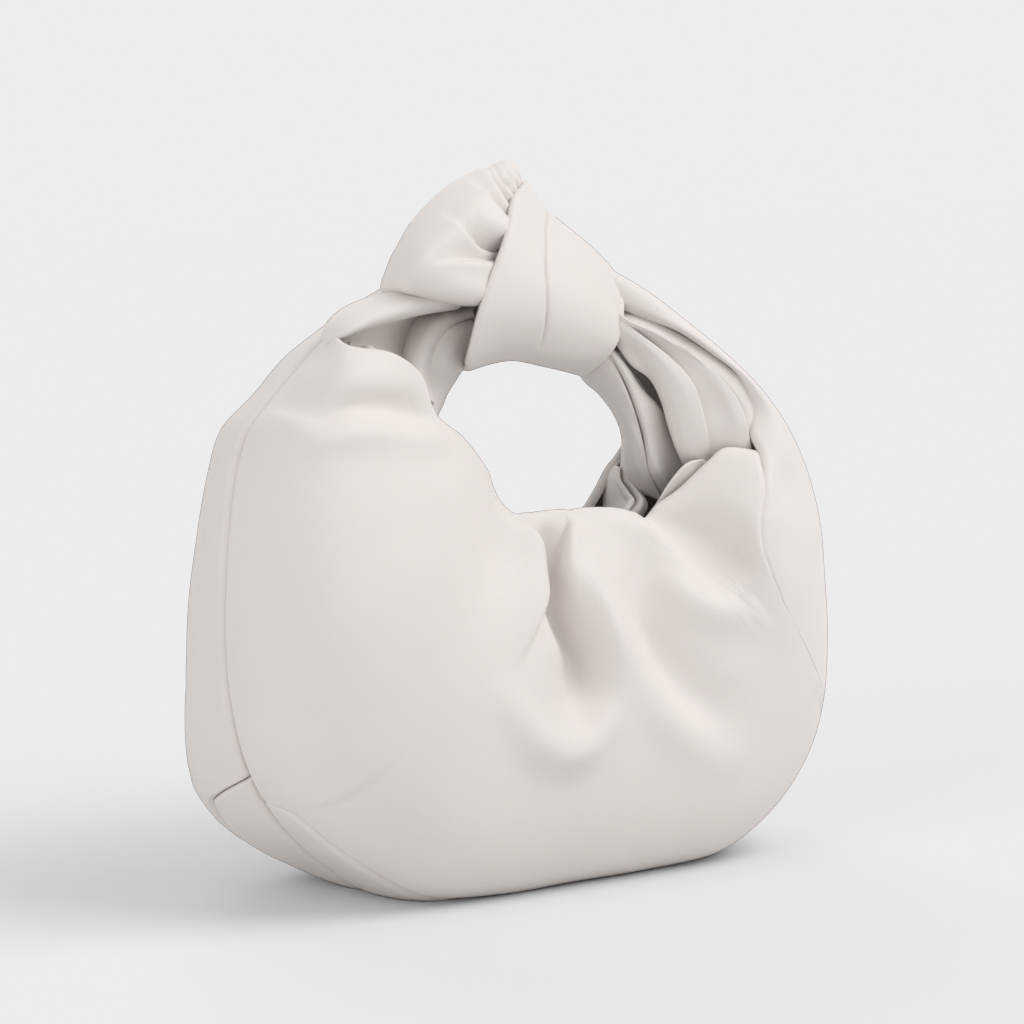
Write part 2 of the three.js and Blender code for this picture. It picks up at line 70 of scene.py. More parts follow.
# The material that each slot of the part is dressed in.
LOOKS = {"ivory_leather": "Ivory leather", "facing_leather": "Facing leather", "lining": "Lining cloth",
         "board": "Board", "snap_metal": "Snap metal"}

# Thickness of each sheet, apart from the outer leather's, how far it lies inside the seam, and how high
# the lining stays above the table.
PLEAT_THICKNESS = 1.1
ROLL_THICKNESS = 0.5
LOOP_THICKNESS = 1.4
BAND_THICKNESS = 1.6
CORE_THICKNESS = 1.2
LINING_THICKNESS = 0.8
FACING_THICKNESS = 1.3
POCKET_THICKNESS = 0.9
LINING_INSET = 3.4
FACING_INSET = 3.0
POCKET_INSET = 5.0
LINING_FLOOR = 6.0
# The facing starts this far from the lip and reaches down to its width, and the lining ends under it.
FACING_START = 0.6
FACING_WIDTH = 30
LINING_END = 26
# How far across the back the pocket reaches, and from which to which rib each inner piece goes.
POCKET_REACH = (0.42, 0.78)
LINING_RIBS = {"front": (10, 29), "back": (4.5, 25)}
FACING_RIBS = {"front": (9, 29), "back": (4, 24)}
POCKET_RIBS = {"back": (12.6, 17.6)}
# How far round a lip curls, and the radius and depth of the turn where the back leather runs under the
# front's, from this back rib on.
CURL_ANGLE = math.radians(150)
TUCKED_TURN = (5, 3.5)
TUCKED_FROM = 19.7
# A pleat's edge: its rolled radius and how far it is tucked back, in the arms and in the mouth's corner.
# Where a pleat is narrower than this, its edge shrinks with it.
PLEAT_EDGE = (1.5, 6)
CORNER_EDGE = (1, 2)
NARROW_PLEAT = 6

# The outer seam, x and z, from the left shoulder down, under the base and up the right side.
SEAM = [
    (-138, 202), (-144.5, 182), (-148.5, 150), (-150, 116), (-147, 86), (-139, 58.5), (-124.5, 35.5),
    (-102.5, 14.5), (-77, -1.5), (-40, -7), (0, -7), (40, -7), (82, -4), (110, 10), (130, 32), (140, 57),
    (143.5, 86), (144, 112), (142.5, 140), (137.5, 164),
]
FRONT_SEAM = [
    (-62, 261), (-78, 253), (-88, 246.5), (-98, 240.5), (-103.5, 236.5), (-107, 233.5), (-110, 230.5),
    (-114, 227), (-120, 221.5), (-128, 213.5), *SEAM, (135, 176),
]
BACK_SEAM = [
    (-44, 268), (-57, 261.5), (-75, 252.5), (-95.5, 240), (-118, 223.5), *SEAM, (128, 185.5),
    (116, 202.5), (100, 220), (81.5, 236.5), (62.5, 252.5), (36, 267),
]
# The lip for each point of the seam: x, z, its distance from the middle, the depth of the leather between
# seam and lip, and how far from the seam it is deepest. The front's, from the roll under the knot:
FRONT_LIP = [
    (-55, 254, 18, 21, 4), (-70, 250.5, 22, 25, 4), (-84, 246, 20, 23, 4), (-93, 245, 9, 10, 3),
    (-98, 243.5, 9.5, 10.5, 4), (-102, 241.5, 12, 13, 5), (-104.5, 238.5, 19, 20, 5),
    (-102, 236.5, 26.5, 28, 9), (-88, 233.5, 33, 36, 17), (-73, 223.5, 33, 40, 26), (-65, 207, 31.5, 41, 34),
    (-50.5, 196, 31, 46, 42), (-39, 183, 31, 54, 50), (-34, 174, 30, 61, 56), (-29, 167, 29, 64, 60),
    (-23, 162.5, 28, 65, 62), (-16, 160.5, 28, 66, 64), (-9, 160, 28, 66, 68), (-3, 160, 28, 66, 70),
    (3, 160, 28, 66, 70), (10, 160, 28, 66, 70), (17, 160, 28, 66, 70), (25, 159.5, 28, 66, 70),
    (33, 158.5, 28, 66, 68), (41, 156.5, 28, 66, 64), (49, 153.5, 29, 66, 62), (55, 159, 30.5, 65, 60),
    (64, 165, 33, 62, 56), (76.5, 176, 36.5, 57, 48), (87, 183, 38, 50, 38), (101, 181.5, 38.5, 46, 32),
]
# The back's, from the knot over the left arm, under the base and up the right arm:
BACK_LIP = [
    (-27, 243, 14, 18, 14), (-37, 236, 18, 19, 16), (-47, 228, 22, 23, 18), (-57, 220, 26, 28, 21),
    (-64, 212, 30, 35, 27), (-56, 203, 31, 39, 38), (-46, 190, 30, 44, 44), (-38, 178, 29, 51.5, 50),
    (-30, 167, 28, 58.5, 56), (-22, 157, 27, 61.5, 60), (-15, 150, 26, 63, 62), (-9, 147, 26, 66, 64),
    (-4, 146, 26, 66, 68), (0, 146, 26, 66, 70), (4, 146, 26, 66, 70), (8, 146, 26, 66, 70),
    (13, 146, 26, 66, 70), (20, 146, 26, 66, 70), (29, 146, 26, 66, 68), (40, 147, 25, 66, 64),
    (51, 151, 25, 66, 62), (58, 160, 24, 65, 60), (64, 169, 24, 62, 56), (70, 176, 24, 57, 48),
    (75, 183, 25, 50, 38), (76, 191, 25, 43, 32), (70, 202, 24, 39, 28), (61, 212, 22, 35, 24),
    (52, 222, 20, 31, 18), (45, 233, 14, 19, 12), (31, 245, 7, 10, 8),
]
# From this back rib on, the back leather wraps round the right arm to the front. Its lip there starts
# like the front's:
WRAP_START = 19
WRAP_LIP = FRONT_LIP[24:29] + [
    (92, 188, 35, 49, 36), (100, 200, 33, 41, 21), (95.5, 213, 31, 36, 14), (85, 222, 28.5, 31.5, 10),
    (69, 233.5, 22, 25, 9), (54, 240.5, 14, 16, 8), (34, 251, 6, 8, 7),
]
FRONT_RIBS = np.column_stack([FRONT_SEAM, FRONT_LIP])
BACK_RIBS = np.column_stack([BACK_SEAM, BACK_LIP])
WRAP_RIBS = np.column_stack([BACK_SEAM[WRAP_START:], WRAP_LIP])

# How far across, from the outer seam, the front leather ends on the right, by front rib.
SEAM_WRAP = np.array([
    (24.7, 0), (24.85, 0.15), (25, 0.3), (25.15, 0.39), (25.3, 0.44), (25.6, 0.5), (26, 0.55), (26.5, 0.59),
    (27, 0.605), (28, 0.625), (28.6, 0.66), (29, 0.7), (29.5, 0.78), (30, 0.86),
], float)
# How far across the back leather reaches on the front side of the right arm, by back rib.
BACK_REACH = np.array([
    (19.68, 0), (19.8, 0.13), (19.95, 0.3), (20.12, 0.4), (20.28, 0.46), (20.6, 0.535), (21, 0.585),
    (21.5, 0.63), (22, 0.645), (23, 0.665), (23.5, 0.71), (23.9, 0.78), (24.3, 0.92), (24.8, 1), (40, 1),
], float)
# How far across the base panels reach, by front rib and by back rib.
FRONT_BASE = np.array([
    (15.5, 0), (15.62, 0.07), (16, 0.096), (16.5, 0.115), (17, 0.133), (18, 0.152), (19, 0.165),
    (22, 0.165), (23, 0.15), (23.6, 0.11), (24, 0.05), (24.2, 0),
], float)
BACK_BASE = np.array([
    (10.1, 0), (10.3, 0.07), (10.5, 0.12), (11, 0.14), (12, 0.152), (14, 0.165), (17, 0.165), (18, 0.15),
    (18.6, 0.11), (19, 0.05), (19.2, 0),
], float)
# How round the leather swells between the seam and where it is deepest.
BULGE = 0.74
# How far the back leather swells out beyond the seam at the lower left, by back rib.
BACK_SWELL = np.array([
    (7, 0), (8, 1), (8.5, 2.5), (9, 6), (9.5, 12), (10, 18), (10.4, 21.5), (11, 21), (11.5, 18.5),
    (12, 14), (12.5, 9), (13, 5), (13.5, 2), (14, 0),
], float)

# Folds of the front leather: what kind, then x, z, height and width along each. A soft fold is a round
# ridge, or a valley where its height is negative, and an edge stands up on one side of its line.
FRONT_FOLDS = [
    ("edge", [(-46, 99, 0, 16), (-35, 108, 3, 18), (-25, 118, 7, 18), (-16.5, 128, 10, 18),
              (-11, 138, 10.5, 18), (-11, 147, 9.5, 18), (-17, 156, 8, 17), (-24, 163, 6, 15),
              (-34, 172, 2, 14)]),
    ("soft", [(-5, 158, 0, 5), (-7, 149, -5.5, 5.5), (-9, 141, -9, 6), (-9.5, 131, -11.5, 7),
              (-6.5, 119, -14, 9), (-4, 107, -15, 10), (-6, 95, -14, 12), (-13, 83, -7, 13),
              (-20, 73, 0, 13)]),
    ("edge", [(5.5, 160, 0, 6), (4, 156, 5, 6), (0, 149.5, 8, 6.5), (-3.5, 142, 9.5, 6.5),
              (-5, 134, 10.5, 7), (-4.8, 124, 11.5, 8), (-2.5, 115, 11, 8.5), (1, 106, 9, 9), (0, 97, 5, 9),
              (-4, 88, 0, 9)]),
    ("soft", [(12, 158, 1, 7), (9, 146, 2.5, 8), (7.5, 132, 5, 8.5), (9, 118, 6.5, 8.5), (9, 103, 6, 9),
              (5, 88, 3, 9), (0, 76, 1, 9)]),
    ("soft", [(-54, 101, 0, 8), (-46, 84, 3.5, 8), (-35, 70, 6, 8), (-20, 64, 6.5, 8), (-6, 70, 5, 8),
              (2, 84, 1, 8)]),
    ("soft", [(22, 160, 1, 7), (36, 157, 3, 8), (48, 151, 3, 8), (58, 141, 2, 9), (66, 132, 0, 9)]),
    ("soft", [(46, 142, -2, 9), (37, 130, -6, 11), (31, 112, -9, 13), (39, 92, -9, 14), (54, 74, -6, 14),
              (74, 59, 0, 14)]),
    ("soft", [(18, 128, 0, 9), (19, 108, 3, 10), (27, 86, 5, 11), (44, 66, 5, 11), (72, 48, 1, 12)]),
    ("soft", [(50, 155, -2, 7), (58, 151, -6, 9), (68, 146, -9, 11), (78, 137, -7, 12), (85, 127, 0, 12)]),
    ("soft", [(40, 136, 0, 8), (50, 124, 4, 8), (62, 116.5, 5.5, 8.5), (72, 114.5, 4.5, 8.5),
              (80, 115.5, 2, 8), (85, 118, 0, 8)]),
    ("soft", [(-134, 196, 0, 8), (-127, 200, 2, 7), (-120, 203, 3, 7), (-110, 204.5, 3.5, 7),
              (-97, 204, 3.5, 7), (-81, 201.5, 3, 7), (-64, 198, 2, 7)]),
    ("soft", [(-130, 208, 0, 7), (-121, 212, -4.5, 7), (-110, 213.5, -6, 7.5), (-96, 212.5, -6, 7.5),
              (-80, 209, -4.5, 7.5), (-67, 205.5, 0, 7)]),
]

# Folds of the back leather: the same kind of slouch, in other places.
BACK_FOLDS = [
    ("edge", [(36, 152, 0, 12), (31, 146, 3, 12), (28, 132, 5, 13), (29, 116, 5, 14), (34, 100, 3, 14),
              (44, 86, 0, 14)]),
    ("soft", [(12, 122, 0, 9), (12, 113, -4, 10), (14, 102, -6, 12), (19, 88, -4.5, 14), (24, 74, 0, 14)]),
    ("soft", [(6, 154, 3, 9), (6, 147, 3.5, 10), (6, 139, 3, 10), (6, 131, 2.5, 10), (6, 123, 0, 9)]),
    ("soft", [(-6, 146, 2, 8), (-3, 128, 3.5, 9), (2, 106, 3, 10), (8, 88, 1, 10)]),
    ("soft", [(46, 88, 1, 9), (38, 72, 3, 9), (22, 62, 4, 9), (6, 66, 3, 9), (-4, 80, 1, 9)]),
    ("soft", [(-22, 146, -1, 9), (-32, 130, -4.5, 12), (-42, 110, -6, 13), (-56, 90, -5, 14),
              (-76, 70, 0, 14)]),
    ("soft", [(-16, 122, 1, 8), (-30, 96, 3, 10), (-50, 72, 3.5, 11), (-76, 54, 0, 11)]),
    ("soft", [(-40, 172, -2, 9), (-56, 160, -5, 11), (-74, 146, -5, 12), (-88, 132, 0, 12)]),
    ("soft", [(-60, 134, 1, 8), (-76, 122, 3, 9), (-96, 122, 2.5, 9), (-108, 132, 0, 8)]),
    ("soft", [(62, 186, -1, 8), (80, 178, -3.5, 10), (104, 168, -3, 11), (124, 150, 0, 11)]),
    ("soft", [(-60, 208, 0, 9), (-84, 214, -3.5, 11), (-112, 214, -4, 11), (-136, 206, 0, 10)]),
]

# Pleats of the arms. Each is lines of control points from the knot down into the bag, from the edge
# that is hidden under its neighbour to the edge that lies over the next one.
RIGHT_PLEATS = {
    "inner": [
        [(33.5, 6, 219.5), (41, 8, 211.5), (50.5, 10, 205), (60, 12, 195.5),
         (66, 14, 186), (67.5, 16, 178), (68.5, 18, 171.5), (69, 20, 164)],
        [(31, -2, 221.5), (37, -2, 213.5), (43.5, -3, 206.5), (50, -4, 197.5),
         (53.5, -4, 188.5), (55, -3, 179.5), (57, -1, 170.5), (64, 3, 161)],
        [(32.5, -8, 223.5), (38, -9, 216.5), (43, -10, 208), (47.5, -11, 199),
         (51, -11, 189.5), (54, -10, 180.5), (58.5, -7, 170.5), (68, -3, 159.5)],
        [(35.5, -12, 224.5), (39.5, -13, 218), (43, -15, 210), (48, -15, 200),
         (51.5, -15, 189.5), (56, -13, 180.5), (61, -10, 170), (70.5, -6, 158.5)],
        [(38, -13, 225), (41, -15, 218), (44, -17, 209.5), (48.5, -17, 200),
         (53.5, -16, 189.5), (57.5, -14, 180.5), (62.5, -11, 170), (72.5, -7, 157.5)],
    ],
    "second": [
        [(40, -8, 225.5), (44.5, -9, 219), (48, -11, 210.5), (53, -11, 200.5),
         (58, -10, 189), (61.5, -9, 180), (66, -7, 169.5), (76, -4, 157)],
        [(38, -13, 226), (42, -16, 219.5), (46, -18, 211), (50, -19, 201),
         (55, -18, 190), (58, -16, 181), (62.5, -13, 171), (75, -8, 159)],
        [(38.5, -15, 227), (43, -18, 220), (47.5, -20, 211), (52.5, -21, 201),
         (58, -19, 189.5), (60.5, -18, 181), (64, -17, 172.5), (75.5, -12, 161.5)],
        [(40.5, -14, 227), (46, -17, 219.5), (51, -19, 211), (58, -20, 202.5),
         (65, -17, 191.5), (68.5, -16, 181.5), (72.5, -15, 173), (80.5, -12, 164.5)],
        [(43, -12, 227), (48.5, -15, 218.5), (54.5, -17, 209.5), (63, -17, 201.5),
         (74, -12, 190.5), (77.5, -13, 180.5), (82, -13, 172.5), (89, -10, 164.5)],
    ],
    "hollow": [
        [(52.5, 0, 224), (64, 6, 216.5), (73.5, 10, 209.5), (80.5, 12, 201.5),
         (84.5, 8, 191.5), (84.5, 2, 182), (89.5, 0, 172)],
        [(59.5, 2, 223.5), (71, 8, 216), (80.5, 12, 209), (86.5, 13, 201),
         (90, 9, 191), (90, 3, 181.5), (95, 1, 171.5)],
        [(62.5, 0, 223.5), (75.5, 6, 216), (84.5, 10, 209), (91.5, 11, 201),
         (94.5, 7, 191), (95.5, 2, 181.5), (100.5, 0, 171)],
    ],
    "third": [
        [(43.5, -5, 233), (47.5, -8, 228.5), (58, -9, 220), (67.5, -11, 211.5), (74.5, -11, 201.5),
         (78.5, -12, 191.5), (81, -14, 182.5), (86.5, -13, 172.5), (94.5, -10, 161.5)],
        [(39, -9, 234), (42, -13, 230), (49, -16, 220), (56.5, -19, 214), (60.5, -22, 204.5),
         (64.5, -22, 193), (68.5, -22, 183.5), (75.5, -20, 173.5), (86, -15, 162.5)],
        [(37.5, -12, 237.5), (39.5, -17, 233.5), (47.5, -20, 226), (54, -25, 217.5), (60, -28, 207),
         (65, -28, 194.5), (69.5, -27, 184), (76.5, -24, 174), (86.5, -18, 164)],
        [(37.5, -14, 240), (40, -20, 236.5), (47.5, -24, 230.5), (55.5, -29, 222), (63.5, -32, 211.5),
         (70, -32, 198.5), (75, -30, 186), (80, -27, 176.5), (89, -20, 166.5)],
        [(38, -15, 242), (41.5, -21, 238.5), (49, -25, 232), (58.5, -30, 223.5), (68.5, -33, 212.5),
         (74.5, -33, 199.5), (79.5, -31, 187), (83.5, -28, 177.5), (91.5, -21, 168)],
    ],
    "fourth": [
        [(45, -3, 238), (46, -7, 236), (49, -14, 229.5), (54.5, -22, 220.5),
         (61.5, -27, 210), (67.5, -28, 198.5), (73, -27, 188), (79, -26, 179.5)],
        [(39.5, -14, 242.5), (42.5, -20, 238.5), (52, -23, 233.5), (63.5, -27, 225.5),
         (74, -31, 214), (81.5, -32, 203), (85, -33, 191), (89, -31, 177.5)],
        [(40, -15, 244), (43, -22, 240), (53, -26, 235.5), (66.5, -30, 227), (78, -34, 216),
         (86, -36, 205.5), (90.5, -37, 195), (93.5, -36, 185), (96.5, -33, 175)],
        [(41, -15, 244.5), (44.5, -22, 240), (55, -26, 236), (68, -31, 226.5), (80.5, -35, 216),
         (89.5, -37, 206), (94, -38, 197.5), (96.5, -38, 189), (102, -35, 176)],
    ],
    "fifth": [
        [(43.5, -10, 240), (50, -15, 237.5), (60, -21, 231.5), (73, -27, 221.5), (85.5, -31, 210),
         (93, -33, 200), (92, -35, 191), (92.5, -34, 181.5), (96.5, -30, 169.5)],
        [(46, -9, 242), (53, -13, 240), (64, -19, 234), (76, -26, 224.5), (88.5, -31, 214),
         (98, -34, 203), (101, -36, 193.5), (103, -35, 182), (106.5, -31, 169)],
        [(49, -7, 243.5), (56.5, -11, 241.5), (68.5, -17, 236), (82, -22, 228.5), (94, -28, 218.5),
         (105, -31, 207.5), (111, -33, 195), (113.5, -33, 181), (116.5, -30, 168)],
        [(53, -4, 245.5), (62.5, -7, 244), (75, -12, 238), (90, -16, 229.5), (102.5, -20, 219),
         (114.5, -22, 208), (121, -23, 195), (122.5, -25, 181), (123.5, -25, 167)],
    ],
    "facet": [
        [(96, -22, 175), (87, -26, 173), (78.5, -28.5, 168.5),
         (71, -26, 163.5), (63.5, -24, 159.5), (57.5, -23, 153.5)],
        [(93, -22, 176), (83, -27.5, 175.5), (74, -29.5, 172.5),
         (67, -27, 166), (60, -24.5, 159.5), (56, -23, 154.5)],
        [(90, -22, 176.5), (78.5, -29, 177.5), (69.5, -30.5, 176),
         (63.5, -28, 169.5), (58.5, -25, 161.5), (55.5, -23, 155.5)],
    ],
    "corner": [
        [(64, 12, 173), (62, 10, 165.5), (62, 6, 160.5), (62.5, 2, 157), (58.5, -1, 155), (53.5, -3, 153)],
        [(63.5, 9, 173.5), (60, 5, 166.5), (60.5, 1, 162),
         (60, -5, 158.5), (55.5, -8, 156), (51.5, -10, 153.5)],
        [(63.5, 7, 173.5), (59, 0, 168), (60, -4, 164),
         (60.5, -9, 160), (58.5, -11, 156.5), (54.5, -12, 152.5)],
        [(66, 8, 172.5), (62.5, 1, 166.5), (64, -2, 162.5),
         (64.5, -7, 158.5), (63.5, -9, 155.5), (60, -10, 151.5)],
    ],
    "flap": [
        [(68, 20, 170.5), (65, 22, 166), (64, 23, 159.5), (63, 22, 153.5), (61.5, 20, 148)],
        [(64, 13, 171.5), (61.5, 12, 166.5), (60, 9, 161.5), (58.5, 4, 156.5), (56, 2, 151)],
        [(60.5, 7, 172), (58, 3, 167), (57.5, -3, 162.5), (57, -8, 158.5), (51.5, -11, 154.5)],
    ],
}
LEFT_PLEATS = {
    "bowl": [
        [(-103, -10, 242.5), (-97.5, -15, 244.5), (-87.5, -17, 246), (-74, -16, 248),
         (-60.5, -13, 250.5), (-47, -8, 253.5), (-34, -4, 255)],
        [(-102, -9, 241.5), (-94, -11, 241.5), (-83.5, -9, 241.5), (-69.5, -5, 242.5),
         (-57.5, 0, 244.5), (-45.5, 3, 246.5), (-32, 3, 249.5)],
        [(-101, -10, 239.5), (-92.5, -11, 238), (-83.5, -9, 237.5), (-70.5, -4, 236.5),
         (-58, 2, 236.5), (-45, 6, 238), (-30.5, 8, 240.5)],
        [(-99.5, -12, 236), (-93, -14, 235), (-87.5, -15, 234), (-76, -10, 231.5),
         (-62.5, -3, 228.5), (-48, 4, 228.5), (-32, 8, 231)],
        [(-97.5, -13, 232.5), (-93, -17, 231), (-90.5, -22, 231), (-79.5, -18, 228.5),
         (-66.5, -11, 224.5), (-52, -2, 222), (-34.5, 6, 221.5)],
    ],
    "strap": [
        [(-28.5, -2, 250.5), (-36.5, 1, 249.5), (-44, 4, 247.5), (-50, 5, 245),
         (-55, 5, 238.5), (-58.5, 3, 232.5), (-64, -4, 226.5), (-66.5, -10, 221)],
        [(-29.5, -6, 249.5), (-39, -6, 248.5), (-46.5, -5, 246), (-53, -5, 243),
         (-58.5, -6, 237), (-63, -9, 231.5), (-66, -14, 225.5), (-68, -20, 219.5)],
        [(-29.5, -8, 248), (-39, -10, 246.5), (-47, -11, 244.5), (-54, -12, 240.5),
         (-59, -13, 234.5), (-62.5, -15, 228.5), (-64.5, -19, 222), (-65, -23, 216)],
        [(-28.5, -8, 245.5), (-36, -10, 244), (-44, -12, 241.5), (-50.5, -13, 237),
         (-55.5, -14, 231.5), (-59.5, -16, 225), (-61.5, -19, 219.5), (-63, -24, 213.5)],
        [(-25.5, -4, 242.5), (-31.5, -5, 241), (-37.5, -6, 238), (-43, -7, 233.5),
         (-48, -8, 227.5), (-52, -10, 222), (-54, -13, 216), (-56, -18, 210.5)],
    ],
    "under": [
        [(-16, 16, 224.5), (-19, 17, 221), (-21.5, 18, 218), (-23.5, 19, 214), (-26, 20, 210),
         (-28.5, 20, 205.5), (-31, 18, 201.5), (-33.5, 16, 195.5), (-36, 14, 189.5)],
        [(-21, 4, 225), (-25.5, 4, 221.5), (-29, 3, 219), (-33, 2, 215), (-36.5, 2, 210.5),
         (-39, 1, 206.5), (-42, 0, 202.5), (-45, -2, 197), (-48, -4, 191)],
        [(-27.5, -6, 232), (-31.5, -7, 227), (-35.5, -8, 223), (-39, -8, 218.5), (-42.5, -8, 214),
         (-45.5, -9, 210), (-49, -11, 206), (-53, -14, 200.5), (-57.5, -18, 195)],
        [(-30, -10, 239.5), (-36, -12, 237), (-41, -13, 233), (-44.5, -13, 228.5), (-47.5, -12, 223.5),
         (-50, -12, 219), (-51.5, -13, 213.5), (-55, -16, 207), (-59, -20, 201)],
        [(-30, -9, 242.5), (-38, -12, 241), (-44, -13, 239), (-49.5, -13, 233.5), (-53, -12, 228),
         (-55, -12, 222), (-56.5, -14, 216.5), (-58, -18, 210), (-60.5, -22, 204.5)],
    ],
}
# The roll of leather under the loop: its centre, and its radius up and in depth, from left to right.
ROLL = [
    (-101, -7, 236, 0.8, 3), (-102, -9, 238.5, 1.8, 5), (-101, -10.5, 241, 3, 8),
    (-97.5, -10.5, 243.5, 4.2, 10.5), (-91, -10, 246.5, 5.2, 12.5), (-82.5, -10, 249, 5.9, 13),
    (-70, -10, 251.5, 6, 13), (-56.5, -9, 252.5, 5.4, 12.5), (-41, -7, 252.5, 4.6, 11),
]
# The outside of the knot's loop, from its hidden edge under the band to the top of its outline.
LOOP_LINES = [
    [(0, -8, 291), (-4, -12, 288), (-10, -15, 284), (-16, -18, 275), (-21, -20, 267), (-26, -20, 259),
     (-30, -18, 253), (-32, -10, 254)],
    [(-4, -12, 292), (-12, -18, 291), (-18, -24, 286), (-24.5, -28, 276.5), (-30, -31, 269.5),
     (-36, -33, 261), (-41, -31, 253), (-40, -18, 251)],
    [(-3, -9, 295), (-13, -16, 300), (-19, -18, 298.5), (-27, -22, 293.5), (-39.5, -27, 287),
     (-51, -30, 279.5), (-60, -31, 272), (-64.5, -30, 264), (-63, -26, 257), (-56, -15, 254)],
    [(-1, -6, 296), (-6, -9, 304), (-15, -12, 304), (-26.5, -16, 301), (-41.5, -20, 294), (-55.5, -22, 285),
     (-66.5, -24, 276), (-72.5, -24, 267.5), (-73, -20, 259), (-66, -10, 255)],
    [(0, -2, 297), (-1.5, -2, 306), (-7, -2, 311), (-15.5, -2, 309.5), (-29.5, -2, 304.5), (-42, -2, 298),
     (-54.5, -2, 288), (-63.5, -2, 277), (-69, -2, 267), (-71, 0, 258), (-66, 0, 254)],
]
# Folds of the loop. A tuck is a step like an edge, but one that is mostly sunk into the leather.
LOOP_FOLDS = [
    ("tuck", [(-20, 271, 5, 5), (-28, 273.5, 6.5, 5.5), (-38, 276.5, 7, 7), (-43, 280.5, 5.5, 7),
              (-48, 286.5, 2.5, 6), (-51.5, 290.5, 0, 5)]),
    ("tuck", [(-22, 268.5, 5, 5), (-32.5, 270, 6, 5.5), (-48, 271.5, 5, 7), (-59, 271.5, 2, 7),
              (-66, 271, 0, 6)]),
    ("tuck", [(-16, 284, 1.5, 4), (-22, 288, 3.5, 4.5), (-25.5, 293, 4.5, 4.5), (-29, 299, 3, 4.5),
              (-33, 302.5, 0, 4)]),
    ("tuck", [(-12, 286, 1.5, 3), (-15, 289.5, 3, 3), (-19.5, 297, 5, 3), (-21, 303, 4, 3),
              (-19, 309, 1.5, 3)]),
    ("tuck", [(-10, 292, 4, 2.6), (-12.5, 295.5, 4, 2.6), (-16.5, 303, 4, 2.6), (-16, 310, 1.5, 2.6)]),
    ("tuck", [(-7, 296, 3.5, 2.2), (-9, 300, 3.5, 2.2), (-12, 305, 3, 2.2), (-12.5, 311, 1, 2.2)]),
    ("tuck", [(-4, 299, 3, 2), (-4.5, 302.5, 3, 2), (-8, 307, 2.5, 2), (-9, 311, 1, 2)]),
    ("soft", [(-68, 259, 0, 6), (-56, 259, 2, 6), (-42, 257, 2, 6)]),
    ("soft", [(-40, 288, 0, 5), (-34, 286, 2, 6), (-27, 282, 2.5, 6), (-20, 277, 1, 6)]),
]
# The band round the knot: four stations from its left rim to its right rim, from top to bottom.
BAND_STATIONS = [
    [(1.5, -2, 302), (-16, -20.5, 296), (-29, -33, 279.5), (-40, -37, 262), (-45, -35, 245),
     (-42.5, -24, 226.5), (-34, -6, 221.5)],
    [(12.5, -3, 288.5), (-3, -24, 279.5), (-11, -33, 268.5), (-20, -38, 256), (-25, -35, 242.5),
     (-19.5, -22, 229.5), (-9, -4, 224.5)],
    [(37, -3, 271), (26, -18, 266), (18, -27, 257.5), (13.5, -31, 247), (11, -29, 236),
     (12, -20, 224.5), (16, -3, 219.5)],
    [(53, -2, 257), (50.5, -9, 250), (46.5, -15, 242.5), (42, -19, 235), (38.5, -19, 228),
     (35.5, -13, 221), (33, -2, 215)],
]
# Its depth behind the knot, as a share of its depth in front, and the seam and rim line cut into it.
BAND_BACK = (0.74, 0.84, 0.92, 0.92)
BAND_SEAM = [
    ("cut", [(8, 288, 2, 0.7), (-0.5, 281, 2, 0.7), (-7, 271.5, 2, 0.7), (-10, 260, 2, 0.7),
             (-10, 248, 2, 0.7), (-8.5, 239, 1.8, 0.7), (-7, 232, 1, 0.7)]),
    ("cut", [(46, 251, 0.6, 0.8), (42, 243, 0.6, 0.8), (38, 235.5, 0.6, 0.8), (34.5, 228.5, 0.6, 0.8),
             (31.5, 221, 0.6, 0.8)]),
]
# How far each rim of the band is turned in: radius and depth.
RIM_TURN = (2.2, 1.6)
# The leather inside the band, ring by ring: the station it follows, its share of it, and its shift in x.
CORE_RINGS = ((0, 0.1, 9), (0, 0.5, 8), (0, 0.8, 8.5), (1, 0.88, 0), (2, 0.88, 0), (3, 0.82, -5),
              (3, 0.5, -4), (3, 0.1, -4))
# How many ripples go round it, and how deep they are as a share of its radius.
CORE_RIPPLES = 9
RIPPLE_DEPTH = 0.05
# Profiles of the closure's halves: radius and height above the facing.
CLOSURE = {
    "snap_stud": [(0.05, 0), (8.6, 0), (9, 0.35), (9, 1.1), (8.6, 1.5), (7.4, 1.75), (6.9, 1.45), (4.2, 1.45),
                  (3.7, 1.9), (3.2, 2.1), (3.2, 3.6), (2.8, 4), (0.05, 4)],
    "snap_socket": [(0.05, 0), (8.6, 0), (9, 0.35), (9, 1.9), (8.6, 2.3), (7.6, 2.5), (7.1, 2.2), (4.6, 2.2),
                    (4.2, 2.4), (3.8, 2.4), (3.5, 2.1), (3.5, 0.9), (0.05, 0.9)],
}
# Radius of the lips' curl, by rib.
FRONT_CURL = ([3.5, 5.5, 6.5, 8, 10, 12, 25, 27, 30], [1, 1.2, 2, 3, 3, 2.2, 2.2, 2.6, 2.6])
BACK_CURL = ([0, 6, 12, 24, 30], [3, 3, 2.2, 2.2, 2.6])
# An edge or a tuck is a step of this share of its height. So much of it stands above the leather on one
# side of the line, and the rest is sunk on the other. The step leans over the line by the last share.
STEP_SHARE = 0.8
STANDING = {"edge": 0.65, "tuck": 0.1}
LEAN = 0.2
# Folds fade out over this distance towards the seam, and towards the lip down to this share.
FADE = 11
LIP_SHARE = 0.35
# The way that the outside of the pleats and of the loop looks.
FORWARD = (-0.3, -1, 0.1)
# Rows and columns of the grids that aren't made from ribs.
PLEAT_GRID = (90, 26)
ROLL_GRID = (90, 48)
LOOP_GRID = (110, 170)
BAND_GRID = (210, 200)
CORE_GRID = (80, 160)
